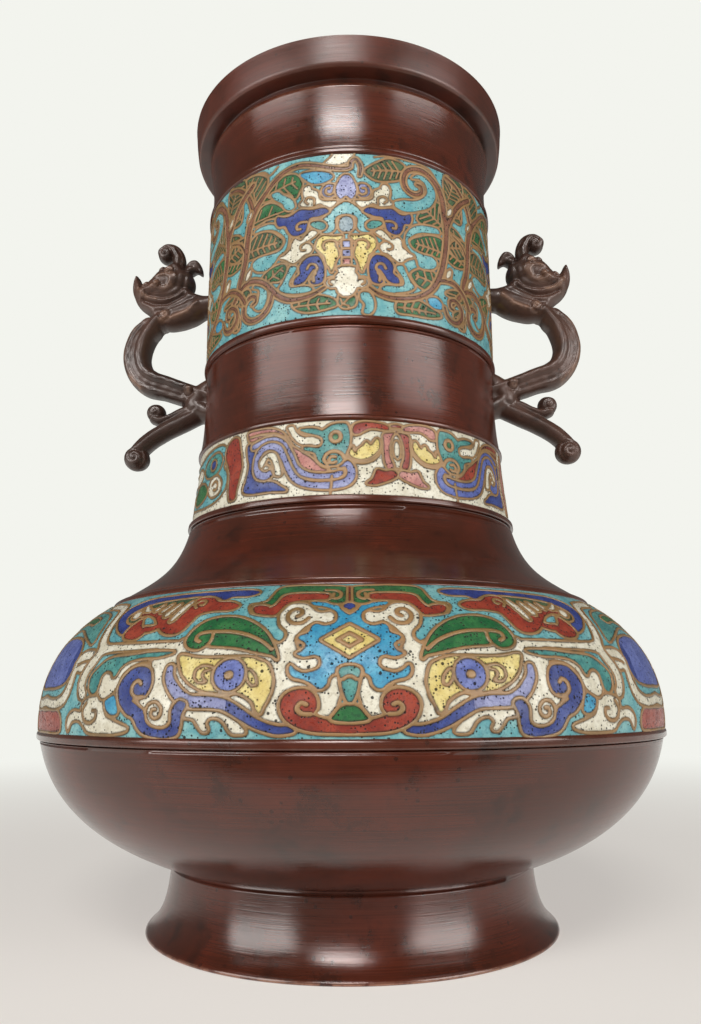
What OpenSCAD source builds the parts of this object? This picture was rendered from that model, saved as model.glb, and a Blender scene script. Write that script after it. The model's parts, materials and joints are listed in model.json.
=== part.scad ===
// Cast bronze vase with three enamelled bands and two dragon handles.
// Origin: centre of the foot on the surface it stands on. +Z is up, and the handles lie along X.

/* [Overall] */
// Height of the vase
vase_h = 360; // [350:1:370]
// Radius of the foot where it meets the table
foot_r = 82.7; // [80:0.1:84]
// Widest radius, in the body band
body_r = 128; // [127:0.1:130]
// Radius of the neck in the middle of the upper band
neck_r = 66.8; // [66:0.1:68]
// Radius of the mouth rim at its top edge
mouth_r = 75; // [74:0.1:78]
// Radius of the opening at the mouth
mouth_bore_r = 61; // [56:0.1:62]

/* [Castings] */
// Wall of the castings
wall = 3; // [2.5:0.1:3.5]
// Height of the foot
foot_h = 26.5; // [26:0.1:27]
// Thickness of the plate that closes the bottom
plate_t = 2.4; // [2:0.1:3]
// Radius of the plate that closes the bottom
plate_r = 66; // [62:0.1:68]
// Height of the inner collar that laps each soldered seam
lap_h = 4; // [3:0.1:5]

/* [Enamel] */
// Depth of the enamel trays
enamel_t = 1.2; // [0.8:0.1:1.5]
// Radius of the cobalt eye discs of the body band
eye_r = 5.2; // [4:0.1:6]
// Half width of the yellow lozenges of the body band
lozenge_w = 9; // [7:0.1:10]
// Half height of the yellow lozenges of the body band
lozenge_h = 5.4; // [4:0.1:6]
// Number of masks round the body band
mask_count = 3; // [2:1:4]
// Number of flowers round the upper band
flower_count = 4; // [3:1:5]
// Number of dragon pairs round the lower band
pair_count = 2; // [2:1:3]
// Turn of the ornament about the axis of the vase
ornament_turn = 2.5; // [0:0.5:5]

/* [Handles] */
// Thickness of the handle through its raised body
handle_t = 16; // [14:0.1:17]
// Thickness of the handle through its head and its upper mount
head_t = 19; // [17:0.1:21]
// Radius of the rivets that hold the handles
rivet_r = 3; // [2.5:0.1:3.5]
// Radius of the rivet heads inside the neck
rivet_head_r = 5.5; // [5:0.1:6]

/* [Hidden] */
$fn = 96;

bronze = [0.40, 0.25, 0.21];
bronze_dark = [0.27, 0.18, 0.16];
turquoise = [0.42, 0.70, 0.72];
cream = [0.85, 0.82, 0.72];
cobalt = [0.22, 0.26, 0.62];
yellow = [0.88, 0.80, 0.42];
pearl = [0.55, 0.62, 0.68];

// Heights of the edges that run round the vase
ridge_z = 74.6;
body_low_z = 78;
body_high_z = 126.2;
shoulder_z = 128.4;
seam_low_z = 160.4;
lower_low_z = 163.9;
lower_high_z = 193.8;
seam_high_z = 234.4;
upper_low_z = 238.1;
upper_high_z = 309.9;
groove_z = 313;
rim_z = vase_h - 17.3;

// Radii that go with them
ridge_r = body_r - 1.3;
body_top_r = 102.2;
shoulder_r = 98.9;
seam_low_r = neck_r + 5.2;
lower_low_r = neck_r + 4.3;
lower_high_r = neck_r + 1.4;
bowl_foot_r = 76.5;
foot_waist_r = 74.8;

// A point on a cubic curve, and the whole curve as n steps
function bezier_at(p, t) = pow(1 - t, 3) * p[0] + 3 * t * pow(1 - t, 2) * p[1]
    + 3 * t * t * (1 - t) * p[2] + pow(t, 3) * p[3];
function bezier(p, n) = [for (k = [0:n]) bezier_at(p, k / n)];

// The part of a line of points that lies between two heights, with its ends cut at those heights
function radius_at(p, z) = lookup(z, [for (q = p) [q[1], q[0]]]);
function between(p, lo, hi) = concat([[radius_at(p, lo), lo]],
    [for (q = p) if (q[1] > lo + 0.01 && q[1] < hi - 0.01) q], [[radius_at(p, hi), hi]]);
function reversed(p) = [for (k = [len(p) - 1:-1:0]) p[k]];

// A line of points moved sideways by d, to its left for a positive d
function unit(v) = v / norm(v);
function heading(p, k) = unit(p[min(k + 1, len(p) - 1)] - p[max(k - 1, 0)]);
function moved(p, d) = [for (k = [0:len(p) - 1]) p[k] + d * [-heading(p, k)[1], heading(p, k)[0]]];

// Outer lines of the castings, each from its lower edge to its upper edge
foot_line = concat([[foot_r - 0.5, 0], [foot_r, 0.9], [foot_r - 0.2, 2.2]],
    bezier([[foot_r - 1.2, 3.2], [76.3, 9.5], [73.6, 17], [foot_waist_r, foot_h]], 10));
bowl_line = bezier([[bowl_foot_r, foot_h], [112, 42], [ridge_r - 0.7, 62], [ridge_r, ridge_z]], 16);
band_line = bezier([[body_r - 0.4, body_low_z], [body_r + 1.6, 104], [116, 118], [body_top_r, body_high_z]], 16);
shoulder_line = bezier([[shoulder_r, shoulder_z], [83, 138], [73.6, 143], [seam_low_r + 1, 156.4]], 14);
lower_line = [[lower_low_r, lower_low_z], [neck_r + 3, 175], [neck_r + 2, 185], [lower_high_r, lower_high_z]];
middle_line = [[neck_r + 1.5, 195.8], [neck_r + 0.6, 202], [neck_r - 0.1, 212], [neck_r - 0.4, 224],
    [neck_r - 0.3, seam_high_z - 0.8]];
upper_line = [[neck_r + 0.1, upper_low_z], [neck_r + 0.3, 265], [neck_r + 0.2, 290], [neck_r, upper_high_z]];
neck_line = bezier([[neck_r - 0.2, groove_z + 0.5], [neck_r - 1.4, 322], [neck_r - 1.2, 330],
    [neck_r + 1.2, rim_z]], 8);

// A band of enamel that fills the tray behind an outer line
function tray_line(p) = moved(p, enamel_t);
module enamel_ring(p) {
    rotate_extrude() polygon(concat(p, reversed(tray_line(p))));
}

// Places a shape on the outer face at angle a from the front and at height z, facing outward
module on_face(a, z, r) {
    rotate([0, 0, a]) translate([0, -r, z]) rotate([90, 0, 0]) children();
}

// What stands at the same place in every repeat, n repeats round the vase
module round_the_vase(n) {
    for (k = [0:n - 1]) rotate([0, 0, ornament_turn + k * 360 / n]) children();
}

eye_a = 16.6;
eye_z = 96.6;
lozenge_z = 107;
pearl_z = 280.4;
pearl_r = 2.9;
lower_eye_r = 2.3;
lower_eye_z = 186.8;
lower_eye_a = 19.8;
lower_pair_a = 15.2;
inlay_depth = 12;

// A round inlay, ground to many short flats
module disc_prism(r, h, sides = 24) {
    linear_extrude(h) polygon([for (k = [0:sides - 1]) r * [cos(k * 360 / sides), sin(k * 360 / sides)]]);
}

// Straight prisms through the enamel, which cut out the single inlays
module eye_prisms() {
    round_the_vase(mask_count) for (side = [-1, 1])
        on_face(side * eye_a, eye_z, body_r - inlay_depth) disc_prism(eye_r, 2 * inlay_depth);
}
module lozenge_prisms() {
    round_the_vase(mask_count) on_face(0, lozenge_z, body_r - inlay_depth)
        linear_extrude(2 * inlay_depth)
            polygon([[lozenge_w, 0], [0, lozenge_h], [-lozenge_w, 0], [0, -lozenge_h]]);
}
module pearl_prisms() {
    round_the_vase(flower_count) on_face(0, pearl_z, neck_r - inlay_depth / 2)
        disc_prism(pearl_r, inlay_depth);
}
module lower_eye_prisms() {
    round_the_vase(pair_count) for (side = [-1, 1])
        on_face(lower_pair_a + side * lower_eye_a, lower_eye_z, neck_r - inlay_depth / 2)
            disc_prism(lower_eye_r, inlay_depth);
}

// Rivets: a shank through the neck into the handle, with a head inside the neck
rivet_upper_z = 273.2;
rivet_lower_z = 226.6;
rivet_end_x = 79;
bore_face_r = neck_r - wall;
module rivet_shank(side, z, r) {
    translate([side * (bore_face_r - 2), 0, z]) rotate([0, side * 90, 0])
        cylinder(r = r, h = rivet_end_x - bore_face_r + 2);
}
module rivet(side, z) {
    rivet_shank(side, z, rivet_r);
    translate([side * (bore_face_r - 2.6), 0, z]) rotate([0, side * 90, 0])
        cylinder(r = rivet_head_r, h = 2.2);
}

// The outside of the neck, which the handles are cut to
module neck_solid() {
    rotate_extrude() polygon(concat([[0, 150], [neck_r + 8, 150]],
        [[neck_r + 2, 190]], middle_line, [[neck_r + 0.1, seam_high_z + 0.4]], upper_line,
        [[neck_r, rim_z], [0, rim_z]]));
}

module mouth_rim() {
    color(bronze) rotate_extrude() difference() {
        union() {
            polygon([[mouth_bore_r, rim_z], [neck_r + 1.2, rim_z], [neck_r + 4.8, rim_z + 2.6],
                [mouth_r - 1.4, rim_z + 4.4], [mouth_r - 0.2, rim_z + 9], [mouth_r, vase_h - 1.6],
                [mouth_r - 1.6, vase_h], [mouth_bore_r + 3, vase_h], [mouth_bore_r, vase_h - 3]]);
            // Collar inside the neck
            translate([mouth_bore_r, rim_z - lap_h]) square([1.4, lap_h]);
        }
        // Fine groove under the top edge
        translate([mouth_r + 0.3, rim_z + 12.6]) circle(r = 0.5);
    }
}

module upper_neck() {
    inner_r = neck_r - wall - 0.6;
    color(bronze) difference() {
        rotate_extrude() polygon(concat(
            [[inner_r, seam_high_z + lap_h], [inner_r + 1.4, seam_high_z + lap_h], [inner_r + 1.4, seam_high_z],
                [neck_r - 0.1, seam_high_z], [neck_r + 0.7, seam_high_z + 0.9], [neck_r + 0.9, upper_low_z - 0.9]],
            [[neck_r + 0.1, upper_low_z]], tray_line(upper_line), [[neck_r, upper_high_z], [neck_r + 0.6, upper_high_z + 0.8],
                [neck_r + 0.5, groove_z - 0.7], [neck_r - 0.7, groove_z - 0.1]],
            neck_line, [[mouth_bore_r + 1.4, rim_z], [mouth_bore_r + 1.4, rim_z - lap_h],
                [inner_r, rim_z - lap_h - 2]]));
        for (side = [-1, 1]) rivet_shank(side, rivet_upper_z, rivet_r);
    }
}

module middle_neck() {
    inner_r = neck_r - wall - 0.6;
    lap_r = inner_r + 1.4;
    low_r = seam_low_r - wall;
    color(bronze) difference() {
        rotate_extrude() polygon(concat(
            [[low_r - 0.4, seam_low_z + lap_h], [low_r + 1, seam_low_z + lap_h], [low_r + 1, seam_low_z],
                [seam_low_r - 0.2, seam_low_z], [seam_low_r + 0.5, seam_low_z + 0.9],
                [lower_low_r + 0.7, lower_low_z - 0.8], [lower_low_r, lower_low_z]],
            tray_line(lower_line), [[lower_high_r, lower_high_z], [lower_high_r + 0.8, lower_high_z + 0.7],
                [lower_high_r + 0.8, lower_high_z + 1.3]],
            middle_line, [[lap_r, seam_high_z - 0.4], [lap_r, seam_high_z + lap_h], [inner_r, seam_high_z + lap_h],
                [inner_r, 205]]));
        for (side = [-1, 1]) rivet_shank(side, rivet_lower_z, rivet_r);
    }
}

module shoulder() {
    low_r = seam_low_r - wall;
    step = [[seam_low_r + 1.3, 156.4], [seam_low_r + 1.2, 157.6], [seam_low_r + 0.6, 158],
        [seam_low_r + 0.7, 159.4], [seam_low_r - 0.2, 160]];
    color(bronze) rotate_extrude() polygon(concat(shoulder_line, step,
        [[low_r + 1, 160], [low_r + 1, seam_low_z + lap_h], [low_r - 0.4, seam_low_z + lap_h], [low_r - 0.4, 158]],
        reversed(between(moved(shoulder_line, wall), shoulder_z, 155.5))));
}

module body_casting() {
    inner = moved(band_line, wall + 0.6);
    color(bronze) rotate_extrude() polygon(concat(
        [inner[0] - [0, 3.4], [ridge_r - 1, ridge_z], [ridge_r, ridge_z + 0.2], [body_r + 0.1, ridge_z + 1],
            [body_r + 0.2, body_low_z - 0.8], [body_r - 0.4, body_low_z]],
        tray_line(band_line), [[body_top_r, body_high_z], [body_top_r - 0.1, body_high_z + 1.2],
            [shoulder_r + 1, shoulder_z], [radius_at(moved(shoulder_line, wall), shoulder_z), shoulder_z]],
        reversed(inner)));
}

module lower_bowl() {
    inner = moved(bowl_line, wall);
    color(bronze) rotate_extrude() polygon(concat([[plate_r - 4, foot_h], [bowl_foot_r, foot_h]],
        between(bowl_line, foot_h + 0.5, ridge_z), [[inner[len(inner) - 1][0], ridge_z]],
        [for (k = [len(inner) - 2:-1:2]) inner[k]], [[plate_r - 4, foot_h + wall]]));
}

module foot_ring() {
    inner = moved(foot_line, wall);
    color(bronze) rotate_extrude() polygon(concat(foot_line, [[plate_r, foot_h], [plate_r, foot_h - plate_t],
        [inner[len(inner) - 1][0], foot_h - plate_t]],
        [for (k = [len(inner) - 2:-1:4]) inner[k]], [[foot_r - 3.2, 0]]));
}

module base_plate() {
    color(bronze_dark) translate([0, 0, foot_h - plate_t]) cylinder(r = plate_r, h = plate_t);
}

module upper_enamel() {
    color(turquoise) difference() {
        enamel_ring(upper_line);
        pearl_prisms();
        for (side = [-1, 1]) rivet_shank(side, rivet_upper_z, rivet_r);
    }
}
module upper_enamel_pearls() {
    color(pearl) intersection() {
        enamel_ring(upper_line);
        pearl_prisms();
    }
}
module lower_enamel() {
    color(cream) difference() {
        enamel_ring(lower_line);
        lower_eye_prisms();
    }
}
module lower_enamel_eyes() {
    color(cobalt) intersection() {
        enamel_ring(lower_line);
        lower_eye_prisms();
    }
}
module body_enamel() {
    color(turquoise) difference() {
        enamel_ring(band_line);
        eye_prisms();
        lozenge_prisms();
    }
}
module body_enamel_eyes() {
    color(cobalt) intersection() {
        enamel_ring(band_line);
        eye_prisms();
    }
}
module body_enamel_lozenges() {
    color(yellow) intersection() {
        enamel_ring(band_line);
        lozenge_prisms();
    }
}

// A smooth line through points [x, z, half width], and the outline of a band along it
function through(p, k, t) = let (a = p[max(k - 1, 0)], b = p[k], c = p[k + 1], d = p[min(k + 2, len(p) - 1)])
    b + t * (c - a) / 2 + t * t * (2 * a - 5 * b + 4 * c - d) / 2 + t * t * t * (3 * b - a - 3 * c + d) / 2;
function smooth(p, n) = concat([for (k = [0:len(p) - 2]) for (j = [0:n - 1]) through(p, k, j / n)],
    [p[len(p) - 1]]);
function flat(q) = [q[0], q[1]];
function side_of(s, d) = [for (k = [0:len(s) - 1])
    let (h = unit(flat(s[min(k + 1, len(s) - 1)]) - flat(s[max(k - 1, 0)])))
    flat(s[k]) + d * s[k][2] * [-h[1], h[0]]];
module band(p, n = 6) {
    s = smooth(p, n);
    polygon(concat(side_of(s, 1), reversed(side_of(s, -1))));
}

// Centre lines of the right handle, in its own plane
body_route = [[93, 267, 4.2], [99, 259.6, 4.9], [101, 250, 5.8], [99, 242, 6.3], [94, 236.8, 6.2],
    [87, 234.2, 5], [78, 231, 5.2], [64, 227, 4.4]];
crest_route = [[92, 268, 1.5], [96.6, 259, 2.6], [98.6, 250.5, 3], [96.8, 243, 3], [93, 239, 2.6]];
collar_route = [[89, 238, 1.5], [85, 236.6, 2.6], [79, 233.6, 3.2], [72, 229.6, 3.2], [64, 227, 3.2]];
tail_route = [[64, 224, 3.5], [72, 220.8, 4.6], [79, 217.2, 4.6], [86.5, 213.2, 4.2], [93.5, 209, 4.2],
    [99, 204.6, 4.3], [101.4, 200.5, 4]];
curl_route = [[72, 224, 2.2], [79, 221.6, 2.2], [84, 219.4, 1.9], [90, 218, 1.8]];
horn_route = [[85, 290, 3.4], [84.2, 297, 3.6], [85.4, 302.5, 3.6], [88, 305.4, 3]];
ball = [99.6, 199.4];
curl = [91.5, 221.9];
horn_tip = [90.2, 305.4];

module in_plane(t) {
    rotate([90, 0, 0]) linear_extrude(t, center = true) children();
}

module head_outline() {
    polygon([[64, 278.4], [70, 279], [75.5, 281.6], [78.4, 285], [78.8, 289], [80.6, 295], [85, 298],
        [89, 294.5], [91.5, 292.6], [96, 287.8], [98.8, 285.4], [101, 288], [103.2, 290], [104, 285.4],
        [103.4, 279.6], [101.4, 275.4], [97.6, 271.4], [94.5, 268], [91.5, 264.4], [86.6, 263.6],
        [75, 265.4], [64, 268]]);
}
module ear_outline() {
    polygon([[79, 290], [75.6, 293], [71.2, 292.4], [71, 294.6], [72.4, 297.6], [75.2, 299], [79.4, 298],
        [83.5, 294]]);
}

module handle() {
    difference() {
        union() {
            in_plane(handle_t - 4) band(body_route);
            in_plane(handle_t) band(crest_route);
            in_plane(handle_t + 2) band(collar_route);
            in_plane(handle_t) band(tail_route);
            in_plane(handle_t - 7) band(curl_route);
            in_plane(handle_t - 6) translate(curl) circle(r = 4.3);
            in_plane(head_t) head_outline();
            in_plane(handle_t - 5) ear_outline();
            in_plane(handle_t - 6) {
                band(horn_route);
                translate(horn_tip) circle(r = 3.9);
            }
            // Round end of the tail
            translate([ball[0], 0, ball[1]]) intersection() {
                rotate([90, 0, 0]) cylinder(r = 5.7, h = handle_t, center = true);
                sphere(r = 8);
            }
        }
        neck_solid();
        rivet_shank(1, rivet_upper_z, rivet_r);
        rivet_shank(1, rivet_lower_z, rivet_r);
    }
}

// Small bosses on both faces of the head: two at the nostrils, one at the eye
module pearls() {
    for (spot = [[96.4, 283, 1.8], [90.6, 281.9, 2], [85.4, 288.8, 1.7]], face = [-1, 1])
        translate([spot[0], face * head_t / 2, spot[1]]) rotate([face * -90, 0, 0])
            cylinder(r1 = spot[2], r2 = spot[2] * 0.6, h = 1.1);
}

module handle_right() {
    color(bronze_dark) handle();
}
module handle_left() {
    color(bronze_dark) mirror([1, 0, 0]) handle();
}
module handle_right_pearls() {
    color(bronze) pearls();
}
module handle_left_pearls() {
    color(bronze) mirror([1, 0, 0]) pearls();
}
module rivets_upper_left() {
    color(bronze_dark) rivet(-1, rivet_upper_z);
}
module rivets_upper_right() {
    color(bronze_dark) rivet(1, rivet_upper_z);
}
module rivets_lower_left() {
    color(bronze_dark) rivet(-1, rivet_lower_z);
}
module rivets_lower_right() {
    color(bronze_dark) rivet(1, rivet_lower_z);
}

mouth_rim();
upper_neck();
middle_neck();
shoulder();
body_casting();
lower_bowl();
foot_ring();
base_plate();
upper_enamel();
upper_enamel_pearls();
lower_enamel();
lower_enamel_eyes();
body_enamel();
body_enamel_eyes();
body_enamel_lozenges();
handle_left();
handle_right();
handle_left_pearls();
handle_right_pearls();
rivets_upper_left();
rivets_upper_right();
rivets_lower_left();
rivets_lower_right();
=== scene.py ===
import json
import math

import bpy
import numpy as np
from mathutils import Matrix, Vector


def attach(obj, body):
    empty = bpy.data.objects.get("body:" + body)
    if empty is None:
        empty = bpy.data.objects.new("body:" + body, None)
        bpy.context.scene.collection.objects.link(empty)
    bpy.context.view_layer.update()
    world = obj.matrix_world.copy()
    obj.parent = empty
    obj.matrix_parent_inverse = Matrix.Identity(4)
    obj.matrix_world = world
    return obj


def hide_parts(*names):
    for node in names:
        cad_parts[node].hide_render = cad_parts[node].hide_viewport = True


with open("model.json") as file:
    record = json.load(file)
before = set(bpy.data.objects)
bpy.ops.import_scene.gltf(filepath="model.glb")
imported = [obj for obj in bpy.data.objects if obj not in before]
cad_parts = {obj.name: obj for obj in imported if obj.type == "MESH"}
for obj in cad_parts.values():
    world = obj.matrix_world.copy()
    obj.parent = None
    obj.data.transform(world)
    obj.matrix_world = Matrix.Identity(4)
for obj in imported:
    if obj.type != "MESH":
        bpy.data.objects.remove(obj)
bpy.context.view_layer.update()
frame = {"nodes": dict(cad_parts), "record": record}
MM = 0.001


# ---------------------------------------------------------------- curves and meshes

def nums(text):
    """'x,y x,y' as an array of points."""
    return np.array([[float(c) for c in p.split(",")] for p in text.split()])


def smooth(points, closed=True, n=6):
    """Catmull-Rom curve through the points."""
    p = np.asarray(points, float)
    m = len(p)
    if m < 3:
        return p
    if closed:
        k = np.arange(m)
        a, b, c, d = p[k - 1], p[k], p[(k + 1) % m], p[(k + 2) % m]
    else:
        k = np.arange(m - 1)
        a, b, c, d = p[np.maximum(k - 1, 0)], p[k], p[k + 1], p[np.minimum(k + 2, m - 1)]
    t = (np.arange(n) / n)[None, :, None]
    a, b, c, d = (q[:, None, :] for q in (a, b, c, d))
    out = 0.5 * (2 * b + (c - a) * t + (2 * a - 5 * b + 4 * c - d) * t**2 + (3 * b - a - 3 * c + d) * t**3)
    out = out.reshape(-1, p.shape[1])
    return out if closed else np.vstack([out, p[-1]])


def bezier(points, n=24):
    """A cubic curve from its four control points, in n steps."""
    p = np.asarray(points, float)
    t = np.linspace(0, 1, n + 1)[:, None]
    return (1 - t) ** 3 * p[0] + 3 * (1 - t) ** 2 * t * p[1] + 3 * (1 - t) * t * t * p[2] + t**3 * p[3]


def seg_distance(x, y, pts, closed):
    """Distance from the points x, y to a line of points, and the place along it, 0 to 1."""
    a = pts[:, :2]
    b = np.roll(a, -1, 0) if closed else a[1:]
    a = a if closed else a[:-1]
    best = np.full(x.shape, 1e6, np.float32)
    place = np.zeros(x.shape, np.float32)
    for i in range(len(a)):
        dx, dy = b[i] - a[i]
        ll = dx * dx + dy * dy + 1e-12
        t = np.clip(((x - a[i, 0]) * dx + (y - a[i, 1]) * dy) / ll, 0, 1)
        d = (x - a[i, 0] - t * dx) ** 2 + (y - a[i, 1] - t * dy) ** 2
        near = d < best
        best = np.where(near, d, best)
        place = np.where(near, (i + t) / len(a), place)
    return np.sqrt(best), place


def inside(x, y, pts):
    """Whether each place is inside a closed line of points."""
    odd = np.zeros(x.shape, bool)
    xj, yj = pts[-1, :2]
    for xi, yi in pts[:, :2]:
        if yi != yj:
            cross = ((yi > y) != (yj > y)) & (x < (xj - xi) * (y - yi) / (yj - yi) + xi)
            odd ^= cross
        xj, yj = xi, yi
    return odd


def new_object(name, verts, faces, material, attributes=None, replaces=()):
    """A mesh piece in millimetres. faces is a list of arrays, one per number of corners."""
    mesh = bpy.data.meshes.new(name)
    verts = np.asarray(verts, np.float64) * MM
    loops = np.concatenate([f.ravel() for f in faces])
    sizes = np.concatenate([np.full(len(f), f.shape[1]) for f in faces])
    starts = np.concatenate([[0], np.cumsum(sizes)[:-1]])
    mesh.vertices.add(len(verts))
    mesh.vertices.foreach_set("co", verts.ravel())
    mesh.loops.add(len(loops))
    mesh.loops.foreach_set("vertex_index", loops.astype(np.int32))
    mesh.polygons.add(len(sizes))
    mesh.polygons.foreach_set("loop_start", starts.astype(np.int32))
    mesh.polygons.foreach_set("use_smooth", np.ones(len(sizes), bool))
    mesh.update(calc_edges=True)
    mesh.validate()
    for key, values in (attributes or {}).items():
        mesh.attributes.new(key, "FLOAT", "POINT").data.foreach_set("value", np.asarray(values, np.float32))
    mesh.materials.append(material)
    piece = bpy.data.objects.new(name, mesh)
    bpy.context.scene.collection.objects.link(piece)
    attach(piece, "root")
    if replaces:
        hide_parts(*replaces)
    return piece


def value_noise(shape, cell, seed):
    """Smooth noise on a grid, about -1 to 1, that closes round the second axis."""
    r = np.random.default_rng(seed)
    ny, nx = max(2, int(shape[0] / cell) + 2), max(3, int(round(shape[1] / cell)))
    g = r.uniform(-1, 1, (ny, nx))
    y = np.linspace(0, ny - 1.001, shape[0])
    x = np.arange(shape[1]) * nx / shape[1]
    yi, xi = y.astype(int), x.astype(int)
    fy, fx = (y - yi)[:, None], (x - xi)[None, :]
    fy, fx = fy * fy * (3 - 2 * fy), fx * fx * (3 - 2 * fx)
    x1 = (xi + 1) % nx
    y1 = np.minimum(yi + 1, ny - 1)
    top = g[np.ix_(yi, xi)] * (1 - fx) + g[np.ix_(yi, x1)] * fx
    low = g[np.ix_(y1, xi)] * (1 - fx) + g[np.ix_(y1, x1)] * fx
    return top * (1 - fy) + low * fy


SIDES = 320     # faces round a turned casting
WOBBLE = 0.05   # how far a turned casting is out of true
POINT_STEP = 1.3   # longest stretch between two points of an outline
ARC_STEPS = 5   # faces in a rounded corner


def lathe(name, outline, material, nodes, wear, seed):
    """A closed outline (r, z) turned round the axis, a little out of true."""
    m = len(outline)
    angle = np.arange(SIDES) * 2 * np.pi / SIDES
    r = np.repeat(outline[:, :1], SIDES, 1) + WOBBLE * value_noise((m, SIDES), 30, seed)
    z = np.repeat(outline[:, 1:2], SIDES, 1)
    verts = np.stack([r * np.sin(angle), -r * np.cos(angle), z], -1).reshape(-1, 3)
    i, j = np.meshgrid(np.arange(m), np.arange(SIDES), indexing="ij")
    i1, j1 = (i + 1) % m, (j + 1) % SIDES
    quads = np.stack([i * SIDES + j, i * SIDES + j1, i1 * SIDES + j1, i1 * SIDES + j], -1).reshape(-1, 4)
    return new_object(name, verts, [quads], material, {"wear": np.repeat(wear, SIDES)}, nodes)


def dense(points):
    """The closed outline with points added along its long stretches."""
    out = []
    for k, a in enumerate(points):
        side = points[(k + 1) % len(points)] - a
        steps = max(1, int(math.ceil(np.hypot(*side) / POINT_STEP)))
        out += [a + side * t / steps for t in range(steps)]
    return np.array(out)


def rounded(points, radii):
    """The inner corners of a line of points turned into arcs of about these radii."""
    p = [np.array(q, float) for q in points]
    out = []
    for k, q in enumerate(p):
        r = radii[k] if hasattr(radii, "__len__") else radii
        if r == 0 or k in (0, len(p) - 1):
            out.append(q)
            continue
        a, b = p[k - 1] - q, p[k + 1] - q
        la, lb = np.hypot(*a), np.hypot(*b)
        c = min(r, la * 0.48, lb * 0.48)
        s, e = q + a / la * c, q + b / lb * c
        t = np.linspace(0, 1, ARC_STEPS + 1)[:, None]
        out += list((1 - t) ** 2 * s + 2 * (1 - t) * t * q + t * t * e)
    return np.array(out)


def wear_of(outline):
    """How far each point of a closed outline is an outer corner, 0 to 1."""
    reach, low, high = 3, 0.16, 0.5
    x, y = outline.T
    area = np.sum(x * np.roll(y, -1) - np.roll(x, -1) * y)
    a = outline - np.roll(outline, reach, 0)
    b = np.roll(outline, -reach, 0) - outline
    turn = np.arctan2(a[:, 0] * b[:, 1] - a[:, 1] * b[:, 0], (a * b).sum(1)) * np.sign(area)
    return np.clip((turn - low) / (high - low), 0, 1)


# ---------------------------------------------------------------- materials

def rgb(r, g, b):
    """Linear colour of an sRGB colour given 0 to 255."""
    c = np.array([r, g, b]) / 255
    c = np.where(c <= 0.04045, c / 12.92, ((c + 0.055) / 1.055) ** 2.4)
    return (*[float(x) for x in c], 1.0)


class Nodes:
    """A material and short ways to add its nodes."""

    def __init__(self, name):
        self.material = bpy.data.materials.new(name)
        self.material.use_nodes = True
        self.tree = self.material.node_tree
        self.shader = self.tree.nodes["Principled BSDF"]
        self.place = self.add("ShaderNodeTexCoord").outputs["Object"]

    def add(self, kind, **settings):
        node = self.tree.nodes.new(kind)
        for key, value in settings.items():
            setattr(node, key, value)
        return node

    def put(self, value, socket):
        if hasattr(value, "is_output"):
            self.tree.links.new(value, socket)
        else:
            socket.default_value = value

    def math(self, operation, a, b):
        node = self.add("ShaderNodeMath", operation=operation)
        self.put(a, node.inputs[0])
        self.put(b, node.inputs[1])
        return node.outputs[0]

    def ramp(self, value, low, high, out_low=0.0, out_high=1.0):
        node = self.add("ShaderNodeMapRange", interpolation_type="SMOOTHSTEP")
        keys = ("Value", "From Min", "From Max", "To Min", "To Max")
        for key, v in zip(keys, (value, low, high, out_low, out_high)):
            self.put(v, node.inputs[key])
        return node.outputs[0]

    def mix(self, factor, a, b):
        node = self.add("ShaderNodeMix", data_type="RGBA", blend_type="MIX")
        self.put(factor, node.inputs[0])
        self.put(a, node.inputs[6])
        self.put(b, node.inputs[7])
        return node.outputs[2]

    def stretched(self, x, y, z, move=0.0):
        node = self.add("ShaderNodeMapping")
        self.put(self.place, node.inputs["Vector"])
        node.inputs["Scale"].default_value = (x, y, z)
        node.inputs["Location"].default_value = (move, move * 0.7, move * 0.3)
        return node.outputs[0]

    def noise(self, scale, detail=3.0, rough=0.55, vector=None, move=0.0):
        node = self.add("ShaderNodeTexNoise")
        self.put(vector if vector is not None else self.stretched(1, 1, 1, move), node.inputs["Vector"])
        node.inputs["Scale"].default_value = scale
        node.inputs["Detail"].default_value = detail
        node.inputs["Roughness"].default_value = rough
        return node.outputs["Fac"]

    def spots(self, scale, move=0.0):
        """Distance to the nearest random dot, and that dot's random number."""
        node = self.add("ShaderNodeTexVoronoi", feature="F1")
        self.put(self.stretched(1, 1, 1, move), node.inputs["Vector"])
        node.inputs["Scale"].default_value = scale
        split = self.add("ShaderNodeSeparateColor")
        self.put(node.outputs["Color"], split.inputs[0])
        return node.outputs["Distance"], split.outputs[0]

    def attribute(self, name):
        return self.add("ShaderNodeAttribute", attribute_name=name).outputs["Fac"]

    def bump(self, height, strength, distance):
        node = self.add("ShaderNodeBump")
        node.inputs["Strength"].default_value = strength
        node.inputs["Distance"].default_value = distance
        self.put(height, node.inputs["Height"])
        return node.outputs[0]

    def set(self, **sockets):
        for key, value in sockets.items():
            self.put(value, self.shader.inputs[key.replace("_", " ")])


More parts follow.
